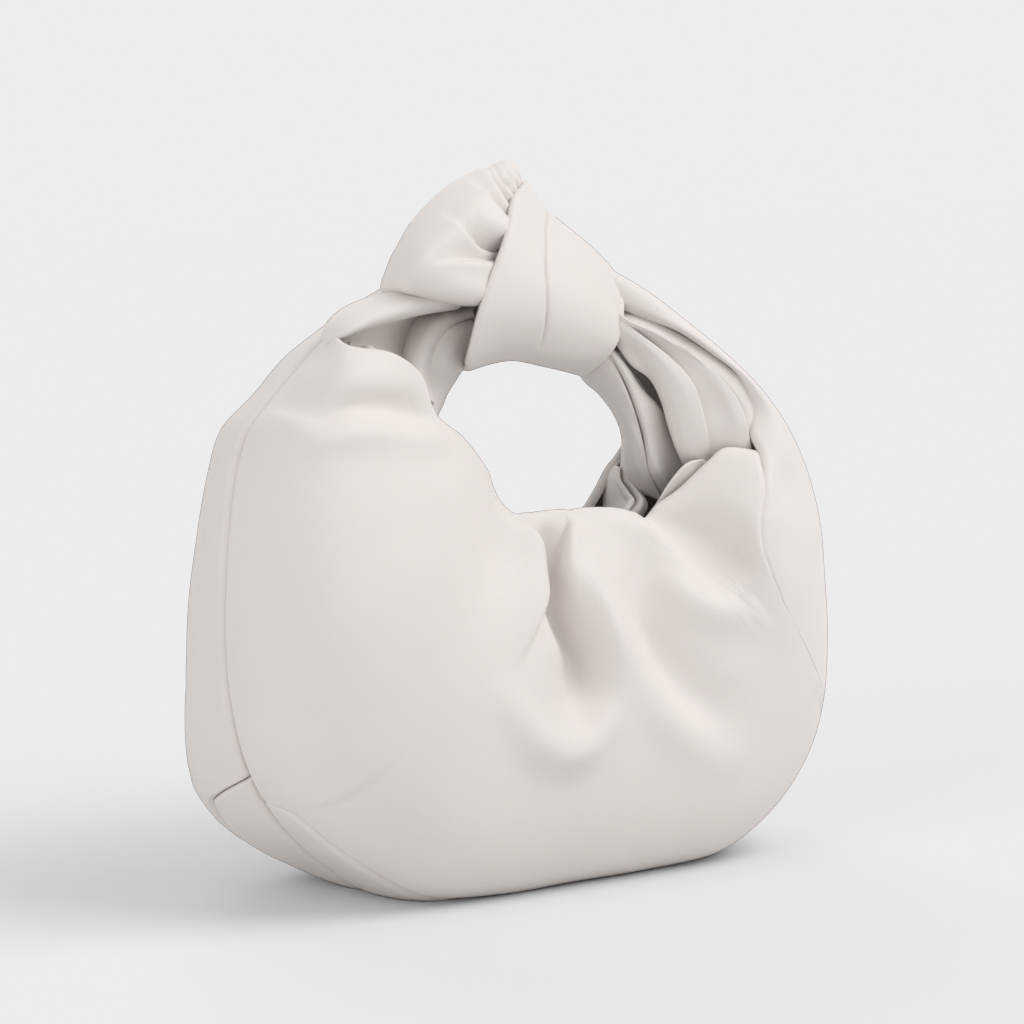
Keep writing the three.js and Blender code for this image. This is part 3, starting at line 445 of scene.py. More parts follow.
# Samples taken along the seam and across a rib before rows and columns are spaced out.
FINE_ROWS = 3000
FINE_COLUMNS = 360
# The stage: the floor, the lights with their share of the key light's power, and the camera.
FLOOR_REACH = 4
LIGHTS = (("key", (0.9, -0.9, 1.5), 1), ("left fill", (-1.6, -0.4, 0.75), 0.36),
          ("back", (0.3, 1.4, 1.2), 0.3))
LIGHT_SIZE = 1.2
LIT_POINT = (0, 0, 0.12)
CAMERA_TARGET = (-0.004, 0, 0.155)
CAMERA_LENS = 129.4
CAMERA_SHIFT = (0.001, 0.0063)


def smooth(u):
    """Smooth step from 0 to 1."""
    v = np.clip(u, 0, 1)
    return v * v * (3 - 2 * v)


def unit(v):
    return v / np.maximum(np.linalg.norm(v, axis=-1, keepdims=True), 1e-9)


def spline(table, at, closed=False):
    """Catmull-Rom through the rows of a table, at places counted in rows."""
    table = np.asarray(table, float)
    at = np.asarray(at, float)
    count = len(table)
    low = np.floor(at).astype(int)
    if not closed:
        low = np.clip(low, 0, count - 2)
    u = (at - low).reshape(at.shape + (1,) * (table.ndim - 1))
    picks = [low + k for k in (-1, 0, 1, 2)]
    picks = [p % count if closed else np.clip(p, 0, count - 1) for p in picks]
    p0, p1, p2, p3 = (table[p] for p in picks)
    m1, m2 = (p2 - p0) / 2, (p3 - p1) / 2
    return (p1 * (2 * u**3 - 3 * u**2 + 1) + m1 * (u**3 - 2 * u**2 + u)
            + p2 * (3 * u**2 - 2 * u**3) + m2 * (u**3 - u**2))


def bezier(a, b, c, d, u):
    return a * (1 - u)**3 + 3 * b * u * (1 - u)**2 + 3 * c * u * u * (1 - u) + d * u**3


def section(ribs, across, inset, floor, swell=0.0):
    """Points of one side of the body: a row for each rib, a column for each share across."""
    outer, lip = ribs[:, None, 0:2], ribs[:, None, 2:4]
    length = np.linalg.norm(lip - outer, axis=2)
    inward = (lip - outer) / length[..., None]
    length = np.broadcast_to(length, across.shape)
    depth = ribs[:, None, 5] - inset
    lip_out = ribs[:, None, 4] - inset
    crest = np.minimum(ribs[:, None, 6], length * 0.6)
    near = across <= 0.5
    u = np.where(near, across * 2, across * 2 - 1)
    rest = length - crest
    along = np.where(
        near,
        bezier(inset, inset - swell, crest - (crest - inset) * BULGE - swell, crest, u),
        bezier(crest, crest + rest * 0.4, length - rest * 0.3, length, u))
    out = np.where(
        near,
        bezier(0, depth * BULGE, depth, depth, u),
        bezier(depth, depth, lip_out + (depth - lip_out) * 0.4, lip_out, u))
    place = outer + inward * along[..., None]
    return np.stack([place[..., 0], out, np.maximum(place[..., 1], floor)], axis=2)


def rows_at(ribs, first, last, step, edge=None):
    """Places of the rows, counted in ribs, at most a step apart along the outer seam."""
    fine = np.linspace(first, last, FINE_ROWS)
    outer, lip = spline(ribs[:, 0:2], fine), spline(ribs[:, 2:5], fine)
    steps = np.maximum(np.linalg.norm(np.diff(outer, axis=0), axis=1),
                       1.3 * np.linalg.norm(np.diff(lip, axis=0), axis=1))
    if edge is not None:
        share = np.interp(fine, *edge.T)
        start = section(spline(ribs, fine), share[:, None], 0, 0)[:, 0]
        steps = np.clip(np.linalg.norm(np.diff(start, axis=0), axis=1), steps, 2.5 * steps)
    length = np.concatenate([[0], np.cumsum(steps)])
    count = int(length[-1] / step) + 1
    return np.interp(np.linspace(0, length[-1], count), length, fine)


def lengths(points):
    """How far along its row each point is."""
    steps = np.linalg.norm(np.diff(points, axis=1), axis=2)
    return np.concatenate([np.zeros((len(points), 1)), np.cumsum(steps, axis=1)], axis=1)


def picked(line, length, at):
    """Points of one row at the given lengths along it."""
    return np.stack([np.interp(at, length, line[:, axis]) for axis in range(3)], axis=1)


def respaced(points, count, ease=0.7):
    """The rows again with count points each, closer together towards both ends."""
    x = np.linspace(0, 1, count)
    x = x - ease * np.sin(2 * np.pi * x) / (2 * np.pi)
    return np.stack([picked(line, length, x * length[-1]) for line, length in zip(points, lengths(points))])


def normals_of(points, closed=False):
    """Normals of a grid of points, closed or not across its rows."""
    if closed:
        ring = np.concatenate([points[:, -1:], points, points[:, :1]], axis=1)
        across = (ring[:, 2:] - ring[:, :-2]) / 2
    else:
        across = np.gradient(points, axis=1)
    return unit(np.cross(np.gradient(points, axis=0), across))


def facing(grid, way):
    """Normals of a grid on the side that faces a direction."""
    normals = normals_of(grid)
    return normals if (normals * np.array(way)).sum() > 0 else -normals


def around(grid, middle):
    """Normals of a closed grid, away from its middle."""
    normals = normals_of(grid, closed=True)
    return normals if (normals * (grid - middle)).sum() >= 0 else -normals


def outward(grid, like):
    """Normals of a grid on the same side as those given for its first columns."""
    normals = normals_of(grid)
    way = np.sign((normals[:, :like.shape[1]] * like).sum())
    return normals * (way or 1)


def beside(line, flat):
    """For points at x and z: the heading, height and width of a fold's line at its nearest place, and how
    far the points lie to one side of it and beyond its end."""
    gap = flat[:, None, :] - line[None, :, :2]
    which = np.argmin((gap**2).sum(axis=2), axis=1)
    course = np.gradient(line[:, :2], axis=0)
    pace = np.linalg.norm(course, axis=1)[which]
    gap = gap[np.arange(len(flat)), which]
    ahead = (gap * course[which]).sum(axis=1) / pace**2
    place = np.clip(which + ahead, 0, len(line) - 1)
    beyond = np.abs(which + ahead - place) * pace
    spot = np.arange(len(line))
    heading = unit(np.stack([np.interp(place, spot, course[:, k]) for k in (0, 1)], axis=1))
    x, z, height, width = (np.interp(place, spot, line[:, k]) for k in range(4))
    gap = flat - np.stack([x, z], axis=1)
    return heading, height, width, heading[:, 0] * gap[:, 1] - heading[:, 1] * gap[:, 0], beyond


def press(points, normals, folds, scale=1.0):
    """The grid with folds pressed into it, each along a line over the x and z of the points."""
    flat = points[..., [0, 2]].reshape(-1, 2)
    move = np.zeros((len(flat), 3))
    towards = normals.reshape(-1, 3)
    for kind, table in folds:
        line = spline(table, np.linspace(0, len(table) - 1, 14 * len(table)))
        reach = line[:, 3].max() * 2.6
        low, high = line[:, :2].min(axis=0) - reach, line[:, :2].max(axis=0) + reach
        near = np.nonzero(((flat > low) & (flat < high)).all(axis=1))[0]
        heading, height, width, side, beyond = beside(line, flat[near])
        height = height * scale
        far = np.abs(side)
        end = np.exp(-(beyond / (width * 0.5))**2)
        bell = np.exp(-(far / width)**2) * end
        if kind == "soft":
            rise = height * bell
        elif kind == "cut":
            rise = -height * np.exp(-far / width) * end
        else:
            step = smooth(side / 3) * np.where(side > 0, bell, end)
            rise = height * (STEP_SHARE * step - (STEP_SHARE - STANDING[kind]) * bell)
            push = LEAN * height * np.exp(-((side - 1.6) / 1.4)**2) * end
            move[near, 0] += heading[:, 1] * push
            move[near, 2] -= heading[:, 0] * push
        move[near] += towards[near] * rise[:, None]
    return points + move.reshape(points.shape)


def pressed(grid, normals, folds, scale):
    """The grid with its folds, which fade out towards the seam and grow shallow at the lip."""
    far = lengths(grid)
    seam = np.stack([np.linalg.norm(row[:, None] - grid[None, :, 0], axis=2).min(axis=1) for row in grid])
    shallow = LIP_SHARE + (1 - LIP_SHARE) * smooth((far[:, -1:] - far) / FADE)
    fade = smooth((seam - 1) / FADE) * shallow
    move = (press(grid, normals, folds, scale) - grid) * fade[..., None]
    for _ in range(2):
        move[1:-1] = (move[:-2] + 2 * move[1:-1] + move[2:]) / 4
        move[:, 1:-1] = (move[:, :-2] + 2 * move[:, 1:-1] + move[:, 2:]) / 4
    return grid + move


def behind(folds):
    """The folds for a sheet behind the leather: only what goes inwards, and wider."""
    result = []
    for kind, table in folds:
        table = np.array(table, float)
        if kind != "soft":
            table[:, 2] *= -0.3
        table[:, 2] = np.minimum(table[:, 2] * 1.15, 0)
        table[:, 3] += 1.5
        result.append(("soft", table))
    return result


def rolled_under(points, normals, far, radius, depth):
    """The grid sunk round a quarter turn where it is less than a radius from an edge."""
    share = np.clip(1 - far / radius, 0, 1)
    return points - normals * (depth * (1 - np.sqrt(1 - share**2)))[..., None]


def evened(values, times=6):
    """A list of vectors, smoothed along it."""
    for _ in range(times):
        padded = np.concatenate([values[:1], values, values[-1:]])
        values = (padded[:-2] + 2 * padded[1:-1] + padded[2:]) / 4
    return values


def curled(points, normals, radius, steps=6):
    """The grid with its last column carried on round a curl of a radius for each row."""
    tangent = unit(evened(unit(points[:, -1] - points[:, -9])))
    along = unit(np.gradient(points[:, -1], axis=0))
    end, normal = points[:, -1], evened(normals[:, -5:].mean(axis=1))
    tangent = unit(tangent - along * (tangent * along).sum(axis=1, keepdims=True))
    normal = unit(normal - along * (normal * along).sum(axis=1, keepdims=True))
    normal = unit(normal - tangent * (normal * tangent).sum(axis=1, keepdims=True))
    radius = np.broadcast_to(radius, len(points))[:, None]
    more = []
    for k in range(1, steps + 1):
        turn = CURL_ANGLE * k / steps
        more.append(end + radius * (tangent * math.sin(turn) - normal * (1 - math.cos(turn))))
    return np.concatenate([points, np.stack(more, axis=1)], axis=1)


def tube(outer, normals, thickness):
    """Points and faces of a closed sheet that runs round, as a band does, open at both ends."""
    rows, columns = outer.shape[:2]
    points = np.concatenate([outer, (outer - normals * thickness)[:, ::-1]], axis=1).reshape(-1, 3)
    number = np.arange(rows * columns * 2).reshape(rows, columns * 2)
    out, back = number[:, :columns].tolist(), number[:, columns:][:, ::-1].tolist()
    faces = []
    for r in range(rows - 1):
        for c in range(columns):
            d = (c + 1) % columns
            faces.append((out[r][c], out[r + 1][c], out[r + 1][d], out[r][d]))
            faces.append((back[r][c], back[r][d], back[r + 1][d], back[r + 1][c]))
    for r in (0, rows - 1):
        for c in range(columns):
            d = (c + 1) % columns
            face = (out[r][c], out[r][d], back[r][d], back[r][c])
            faces.append(face[::-1] if r else face)
    return points, faces


def sheet(outer, normals, thickness, round_start=False, round_end=False):
    """Points and faces of a closed sheet of leather or cloth under an outer grid of points."""
    rows, columns = outer.shape[:2]
    inner = outer - normals * thickness
    middle = (outer + inner) / 2
    half = thickness / 2
    rims = []
    for column, inside, rounded in ((-1, -2, round_end), (0, 1, round_start)):
        tangent = unit(outer[:, column] - outer[:, inside])
        reach = half if rounded else 0
        turns = [math.pi * k / 4 for k in (1, 2, 3)]
        rims.append(np.stack([middle[:, column] + normals[:, column] * half * math.cos(turn)
                              + tangent * reach * math.sin(turn) for turn in turns], axis=1))
    loops = np.concatenate([outer, rims[0], inner[:, ::-1], rims[1][:, ::-1]], axis=1)
    number = np.arange(rows * loops.shape[1]).reshape(rows, -1)
    faces = []
    for a, b in zip(number, number[1:]):
        faces.extend(zip(a.tolist(), b.tolist(), np.roll(b, -1).tolist(), np.roll(a, -1).tolist()))
    for line in (number[0].tolist(), number[-1].tolist()):
        low = line[columns + 3:columns * 2 + 3][::-1]
        strip = [(line[c], line[c + 1], low[c + 1], low[c]) for c in range(columns - 1)]
        ends = [tuple(line[columns - 1:columns + 4]), (*line[-4:], line[0])]
        faces.extend(face[::-1] if line[0] else face for face in strip + ends)
    return loops.reshape(-1, 3), faces


def surface(lines, rows, columns, closed=False):
    """A grid through lines of control points: along each line, then across the lines."""
    even = []
    for line in lines:
        line = np.asarray(line, float)
        fine = spline(line, np.linspace(0, len(line) - 1, 40 * len(line)))
        length = np.concatenate([[0], np.cumsum(np.linalg.norm(np.diff(fine, axis=0), axis=1))])
        even.append(picked(fine, length, np.linspace(0, length[-1], rows)))
    last = len(lines) if closed else len(lines) - 1
    at = np.linspace(0, last, columns + 1)[:-1] if closed else np.linspace(0, last, columns)
    return np.transpose(spline(np.stack(even), at, closed), (1, 0, 2))


def front_grid(step, count, first, last=30.0, inset=0.0, floor=0.0, low=None):
    """Rows and grid of the front leather, from its outer edge to the lip."""
    at = rows_at(FRONT_RIBS, first, last, step, SEAM_WRAP)
    start = np.maximum(np.interp(at, *FRONT_BASE.T), np.interp(at, *SEAM_WRAP.T))
    start = start if low is None else np.full(len(at), low)
    across = start[:, None] + (1 - start[:, None]) * np.linspace(0, 1, FINE_COLUMNS)[None, :]
    return at, respaced(section(spline(FRONT_RIBS, at), across, inset, floor) * FRONT, count)


def swell_at(at):
    return np.interp(at, *BACK_SWELL.T)[:, None]


def back_grid(step, count, first=0.0, last=30.0, inset=0.0, floor=0.0, low=None, wrapped=True):
    """Rows and grid of the back leather, from its front edge or outer edge to the back lip."""
    at = rows_at(BACK_RIBS, first, last, step, BACK_REACH if wrapped else None)
    start = np.interp(at, *BACK_BASE.T) if low is None else np.full(len(at), low)
    share = np.linspace(0, 1, FINE_COLUMNS)[None, :]
    across = start[:, None] + (1 - start[:, None]) * share
    back = section(spline(BACK_RIBS, at), across, inset, floor, swell_at(at)) * BACK
    if not wrapped:
        return at, respaced(back, count)
    reach = np.interp(at, *BACK_REACH.T)
    wrap_at = np.clip(at - WRAP_START, 0, len(WRAP_RIBS) - 1)
    front = section(spline(WRAP_RIBS, wrap_at), reach[:, None] * share[:, ::-1], inset, floor) * FRONT
    front = np.where(reach[:, None, None] > 0, front, back[:, :1])
    return at, respaced(np.concatenate([front[:, :-1], back], axis=1), count)


def add_mesh(name, mesh_data, node, slot, body=None):
    """One object from points in millimetres, in place of a node: given to a body, or else left in the world
    frame.
    """
    points, faces = mesh_data
    mesh = bpy.data.meshes.new(name)
    mesh.from_pydata((np.asarray(points) * MM).tolist(), [], faces)
    mesh.update()
    mesh.shade_smooth()
    mesh.materials.append(bpy.data.materials[LOOKS[slot]])
    obj = bpy.data.objects.new(name, mesh)
    bpy.context.scene.collection.objects.link(obj)
    if body:
        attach(obj, body)
    else:
        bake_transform(obj)
    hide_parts(node)


def dress(node, slot):
    """A material for a rigid piece that keeps its own shape."""
    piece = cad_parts[node]
    piece.data.materials.clear()
    piece.data.materials.append(bpy.data.materials[LOOKS[slot]])


def make_front(shape):
    at, grid = front_grid(shape.row_step / MM, 120, first=3.5)
    normals = facing(grid, (0, -1, 0))
    grid = pressed(grid, normals, FRONT_FOLDS, shape.fold_scale)
    pressed_normals = normals_of(grid)
    normals = pressed_normals * np.sign((pressed_normals * normals).sum(axis=2, keepdims=True))
    grid = rolled_under(grid, normals, lengths(grid), shape.turn_radius / MM, shape.turn_depth / MM)
    grid = curled(grid, normals, np.interp(at, *FRONT_CURL))
    mesh_data = sheet(grid, outward(grid, normals), shape.thickness / MM, round_end=True)
    add_mesh("front_leather", mesh_data, "front_panel", "ivory_leather")


def make_back(shape):
    at, grid = back_grid(shape.row_step / MM, 140)
    normals = facing(grid, (0, 1, 0))
    grid = pressed(grid, normals, BACK_FOLDS, shape.fold_scale)
    normals = outward(grid, normals)
    under = smooth((at - TUCKED_FROM) / 0.3)[:, None, None]
    far = lengths(grid)
    grid = (rolled_under(grid, normals, far, shape.turn_radius / MM, shape.turn_depth / MM) * (1 - under)
            + rolled_under(grid, normals, far, *TUCKED_TURN) * under)
    grid = curled(grid, normals, np.interp(at, *BACK_CURL))
    mesh_data = sheet(grid, outward(grid, normals), shape.thickness / MM, round_end=True)
    add_mesh("back_leather", mesh_data, "back_panel", "ivory_leather")


def make_base(side, ribs, base, flip, shape):
    """One half of the base, from the seam under the bag to the dart."""
    at = rows_at(ribs, base[0, 0] + 0.02, base[-1, 0] - 0.02, shape.row_step / MM)
    reach = np.interp(at, *base.T)
    across = reach[:, None] * np.linspace(0, 1, 160)[None, :]
    swell = swell_at(at) if flip[1] > 0 else 0
    grid = respaced(section(spline(ribs, at), across, 0, 0, swell) * flip, 34)
    normals = facing(grid, (0, 0, -1))
    far = lengths(grid)
    for edge in (far, far[:, -1:] - far):
        grid = rolled_under(grid, normals, edge, shape.turn_radius / MM, shape.turn_depth / MM)
    mesh_data = sheet(grid, outward(grid, normals), shape.thickness / MM)
    add_mesh(side + "_base_leather", mesh_data, side + "_base_panel", "ivory_leather", body="body")


def pleat(lines, radius, tuck):
    """A grid of one pleat, with its last edge rolled round and tucked back under it."""
    grid = surface(lines, *PLEAT_GRID)
    along = unit(np.gradient(grid[:, -1], axis=0))
    across = grid[:, -1] - grid[:, -9]
    share = np.clip(np.linalg.norm(across, axis=1, keepdims=True) / NARROW_PLEAT, 0.2, 1)
    across = unit(across)
    into = unit(np.cross(along, across))
    if (into * np.array([0.3, 1.0, 0.0])).sum() < 0:
        into = -into
    across = unit(np.cross(along, into)) * np.sign((np.cross(along, into) * across).sum(axis=1))[:, None]
    edge = grid[:, -1]
    more = []
    for k in range(1, 7):
        turn = math.pi * k / 6
        more.append(edge + radius * share * (across * math.sin(turn) + into * (1 - math.cos(turn))))
    for k in (1, 2, 3):
        more.append(more[5] + (into * 0.15 - across) * share * (tuck * k / 3))
    return np.concatenate([grid, np.stack(more, axis=1)], axis=1)


def joined(parts):
    """One list of points and faces from several."""
    points, faces, start = [], [], 0
    for some, quads in parts:
        points.append(some)
        faces.extend(tuple(i + start for i in face) for face in quads)
        start += len(some)
    return np.concatenate(points), faces


def roll():
    """The thick roll of leather from the left shoulder to the knot."""
    table = spline(ROLL, np.linspace(0, len(ROLL) - 1, ROLL_GRID[0]))
    centre = table[:, None, :3]
    heading = unit(np.gradient(table[:, :3], axis=0) * (1, 0, 1))
    up = np.cross(heading, (0, 1, 0))
    turn = np.linspace(0, 2 * math.pi, ROLL_GRID[1] + 1)[:-1]
    grid = (centre + up[:, None] * (table[:, 3:4] * np.cos(turn))[..., None]
            + np.array([0, 1.0, 0]) * (table[:, 4:5] * np.sin(turn))[..., None])
    return tube(grid, around(grid, centre), ROLL_THICKNESS)


def make_arm(side, pleats, rolls=()):
    """The gathers of one arm, as one piece of leather."""
    parts = []
    for part, lines in pleats.items():
        grid = pleat(lines, *(CORNER_EDGE if part in ("corner", "flap") else PLEAT_EDGE))
        normals = outward(grid, facing(grid[:, :24], FORWARD))
        parts.append(sheet(grid, normals, PLEAT_THICKNESS, round_start=True))
    add_mesh(side + "_arm_leather", joined([*parts, *rolls]), side + "_handle_arm", "ivory_leather")


def make_loop(shape):
    """The loop of the knot, closed behind by its own front mirrored and flattened."""
    back = [[(x - 0.95 * y * min(k / 4, 1), -0.75 * y, z + 0.1 * y) for k, (x, y, z) in enumerate(line)]
            for line in reversed(LOOP_LINES[:-1])]
    grid = surface(LOOP_LINES + back, *LOOP_GRID)
    normals = outward(grid, facing(grid[:, :80], FORWARD))
    grid = press(grid, normals, LOOP_FOLDS, shape.fold_scale)
    mesh_data = sheet(grid, outward(grid, normals), LOOP_THICKNESS)
    add_mesh("knot_loop_leather", mesh_data, "knot_loop", "ivory_leather", body="handle")


def make_band():
    """The band round the knot, with its seam and both rims turned in."""
    front = np.transpose(np.array(BAND_STATIONS, float), (1, 0, 2))
    back = np.stack([front[..., 0], -np.array(BAND_BACK) * front[..., 1], front[..., 2]], axis=2)
    grid = surface([*front, *back[-2:0:-1]], *BAND_GRID, closed=True)
    normals = around(grid, grid.mean(axis=1, keepdims=True))
    grid = np.where(grid[..., 1:2] < 0, press(grid, normals, BAND_SEAM), grid)
    steps = np.linalg.norm(np.diff(grid, axis=0), axis=2)
    along = np.concatenate([np.zeros((1, grid.shape[1])), np.cumsum(steps, axis=0)])
    for far in (along, along[-1] - along):
        grid = rolled_under(grid, normals, far, *RIM_TURN)
    mesh_data = tube(grid, normals, BAND_THICKNESS)
    add_mesh("knot_band", mesh_data, "knot_wrap", "ivory_leather", body="handle")


def make_core():
    """The bunched leather that fills the band."""
    stations = [np.array(station, float) for station in BAND_STATIONS]
    rings = []
    for at, share, shift in CORE_RINGS:
        ring = np.concatenate([stations[at], (stations[at] * (1, -BAND_BACK[at], 1))[-2:0:-1]])
        middle = ring.mean(axis=0)
        rings.append(middle + (ring - middle) * share + (shift, 0, -0.5 * shift))
    grid = surface(np.stack(rings, axis=1), *CORE_GRID, closed=True)
    middle = grid.mean(axis=1, keepdims=True)
    turn = np.linspace(0, 2 * math.pi * CORE_RIPPLES, CORE_GRID[1] + 1)[:-1]
    grid = grid + (grid - middle) * (RIPPLE_DEPTH * np.sin(turn))[None, :, None]
    mesh_data = tube(grid, around(grid, middle), CORE_THICKNESS)
    add_mesh("knot_core_leather", mesh_data, "knot_core", "ivory_leather", body="handle")


def inner_grid(side, step, count, rows, **values):
    """The grid just inside one panel, the way it faces, and the folds that reach it."""
    if side == "front":
        grid = front_grid(step, count, *rows[side], low=0.0, **values)[1]
        return grid, (0, -1, 0), behind(FRONT_FOLDS)
    grid = back_grid(step, count, *rows[side], low=0.0, wrapped=False, **values)[1]
    return grid, (0, 1, 0), behind(BACK_FOLDS)


def folded_sheet(grid, way, folds, scale, thickness, **ends):
    """A sheet that faces a direction, with folds pressed into it."""
    normals = facing(grid, way)
    grid = press(grid, normals, folds, scale)
    return sheet(grid, outward(grid, normals), thickness, **ends)


def make_lining(side, shape):
    """One half of the lining, from the outer seam up to the facing."""
    grid, way, folds = inner_grid(side, 4, 70, LINING_RIBS, inset=LINING_INSET, floor=LINING_FLOOR)
    rows = []
    for line, far in zip(grid, lengths(grid)):
        reach = np.linspace(0, max(far[-1] - LINING_END, 0.5 * far[-1]), len(line))
        rows.append(picked(line, far, reach))
    mesh_data = folded_sheet(np.stack(rows), way, folds, shape.fold_scale, LINING_THICKNESS)
    add_mesh(side + "_lining_cloth", mesh_data, side + "_lining", "lining")


def make_facing(side, shape):
    """The leather band inside one lip, which carries one half of the closure."""
    grid, way, folds = inner_grid(side, 2.5, 160, FACING_RIBS, inset=FACING_INSET)
    down = np.linspace(FACING_WIDTH, FACING_START, 24)
    band = np.stack([picked(line[::-1], far[-1] - far[::-1], down) for line, far in zip(grid, lengths(grid))])
    mesh_data = folded_sheet(band, way, folds, shape.fold_scale, FACING_THICKNESS,
                             round_start=True, round_end=True)
    add_mesh(side + "_facing_leather", mesh_data, side + "_facing", "facing_leather")


def make_pocket(shape):
    """The patch pocket on the back lining, with a bound top edge."""
    grid, way, folds = inner_grid("back", 4, 200, POCKET_RIBS, inset=POCKET_INSET, floor=LINING_FLOOR)
    span = np.linspace(*POCKET_REACH, 50)
    patch = np.stack([picked(line, far, span * far[-1]) for line, far in zip(grid, lengths(grid))])
    mesh_data = folded_sheet(patch, way, folds, shape.fold_scale, POCKET_THICKNESS,
                             round_start=True, round_end=True)
    add_mesh("inner_pocket_cloth", mesh_data, "inner_pocket", "lining", body="body")


def lathe(profile, origin, axis, sides=64):
    """Points and faces of a round piece: profile is radius and height from the centre outwards."""
    axis = unit(np.asarray(axis, float))
    side = unit(np.cross(axis, (0.3, 0, 1.0)))
    other = np.cross(axis, side)
    turn = np.linspace(0, 2 * math.pi, sides + 1)[:-1]
    points = []
    for radius, height in profile:
        ring = (np.cos(turn)[:, None] * side + np.sin(turn)[:, None] * other) * radius
        points.append(origin + ring + axis * height)
    faces = []
    for r in range(len(profile) - 1):
        for c in range(sides):
            d = (c + 1) % sides
            faces.append((r * sides + c, r * sides + d, (r + 1) * sides + d, (r + 1) * sides + c))
    faces.append(tuple(range(sides - 1, -1, -1)))
    faces.append(tuple((len(profile) - 1) * sides + c for c in range(sides)))
    return np.concatenate(points), faces


def make_closure():
    """The two halves of the magnetic closure, each standing on its facing and turned to the other."""
    for node, profile in CLOSURE.items():
        low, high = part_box(node)
        centre = (np.array(low) + np.array(high)) / 2 / MM
        in_front = centre[1] < 0
        origin = np.array([centre[0], (low[1] if in_front else high[1]) / MM, centre[2]])
        axis = (0, 1, 0) if in_front else (0, -1, 0)
        add_mesh(node + "_metal", lathe(profile, origin, axis), node, "snap_metal", body="body")


def wire(tree, node, inputs):
    """Give a node's inputs their values, or link them to other nodes' outputs."""
    for key, value in inputs.items():
        if isinstance(value, bpy.types.NodeSocket):
            tree.links.new(value, node.inputs[key])
        else:
            node.inputs[key].default_value = value


def add_node(tree, kind, inputs=None, **settings):
    node = tree.nodes.new(kind)
    for name, value in settings.items():
        setattr(node, name, value)
    wire(tree, node, inputs or {})
    return node


def new_material(name):
    """The node tree of a new material, and its main shader."""
    look = bpy.data.materials.new(name)
    look.use_nodes = True
    return look.node_tree, look.node_tree.nodes["Principled BSDF"]


def grain_group():
    """Fine pebbled grain of leather: a height, and a tone that drifts over the hide."""
    tree = bpy.data.node_groups.new("Leather grain", "ShaderNodeTree")
    size = tree.interface.new_socket(name="Size", in_out="INPUT", socket_type="NodeSocketFloat")
    size.default_value = 0.0005
    size.min_value = 0.0001
    size.max_value = 0.01
    tree.interface.new_socket(name="Height", in_out="OUTPUT", socket_type="NodeSocketFloat")
    tree.interface.new_socket(name="Tone", in_out="OUTPUT", socket_type="NodeSocketFloat")
    start = add_node(tree, "NodeGroupInput")
    end = add_node(tree, "NodeGroupOutput")
    place = add_node(tree, "ShaderNodeTexCoord").outputs["Object"]
    rate = add_node(tree, "ShaderNodeMath", {0: 1, 1: start.outputs["Size"]}, operation="DIVIDE").outputs[0]
    warp = add_node(tree, "ShaderNodeTexNoise", {"Scale": 260, "Detail": 2, "Vector": place})
    bend = add_node(tree, "ShaderNodeMix", {"Factor": 0.0008, 4: place, 5: warp.outputs["Color"]},
                    data_type="VECTOR")
    cells = add_node(tree, "ShaderNodeTexVoronoi", {"Vector": bend.outputs[1], "Scale": rate},
                     feature="DISTANCE_TO_EDGE")
    rounded = add_node(tree, "ShaderNodeMapRange", {"From Max": 0.32, "Value": cells.outputs["Distance"]},
                       interpolation_type="SMOOTHSTEP")
    fine = add_node(tree, "ShaderNodeTexNoise",
                    {"Detail": 4, "Roughness": 0.6, "Vector": place, "Scale": rate})
    both = add_node(tree, "ShaderNodeMath", {0: rounded.outputs["Result"], 1: 0.45, 2: fine.outputs["Fac"]},
                    operation="MULTIPLY_ADD")
    cloud = add_node(tree, "ShaderNodeTexNoise", {"Scale": 14, "Detail": 5, "Vector": place})
    wire(tree, end, {"Height": both.outputs[0], "Tone": cloud.outputs["Fac"]})


def leather_material(name, color, roughness, size, depth):
    tree, shader = new_material(name)
    grain = add_node(tree, "ShaderNodeGroup", node_tree=bpy.data.node_groups["Leather grain"])
    wire(tree, grain, {"Size": size})
    tone = grain.outputs["Tone"]
    dark, light = [c * 0.94 for c in color], [min(c * 1.05, 1) for c in color]
    tint = add_node(tree, "ShaderNodeMix", {6: (*dark, 1), 7: (*light, 1), "Factor": tone}, data_type="RGBA")
    bump = add_node(tree, "ShaderNodeBump",
                    {"Strength": 0.35, "Distance": depth, "Height": grain.outputs["Height"]})
    rough = add_node(tree, "ShaderNodeMapRange",
                     {"To Min": roughness - 0.05, "To Max": roughness + 0.07, "Value": tone})
    wire(tree, shader, {"Base Color": tint.outputs[2], "Normal": bump.outputs["Normal"],
                        "Roughness": rough.outputs["Result"], "Specular IOR Level": 0.4})


def cloth_material(name, color):
    tree, shader = new_material(name)
    place = add_node(tree, "ShaderNodeTexCoord").outputs["Object"]
    threads = [add_node(tree, "ShaderNodeTexWave", {"Scale": 420, "Distortion": 0.6, "Vector": place},
                        bands_direction=direction).outputs["Fac"] for direction in ("X", "Z")]
    weave = add_node(tree, "ShaderNodeMath", dict(enumerate(threads)), operation="MULTIPLY").outputs[0]
    dark = [c * 0.82 for c in color]
    tint = add_node(tree, "ShaderNodeMix", {6: (*dark, 1), 7: (*color, 1), "Factor": weave}, data_type="RGBA")
    bump = add_node(tree, "ShaderNodeBump", {"Strength": 0.3, "Distance": 0.0003, "Height": weave})
    wire(tree, shader, {"Base Color": tint.outputs[2], "Normal": bump.outputs["Normal"], "Roughness": 0.88,
                        "Sheen Weight": 0.15})


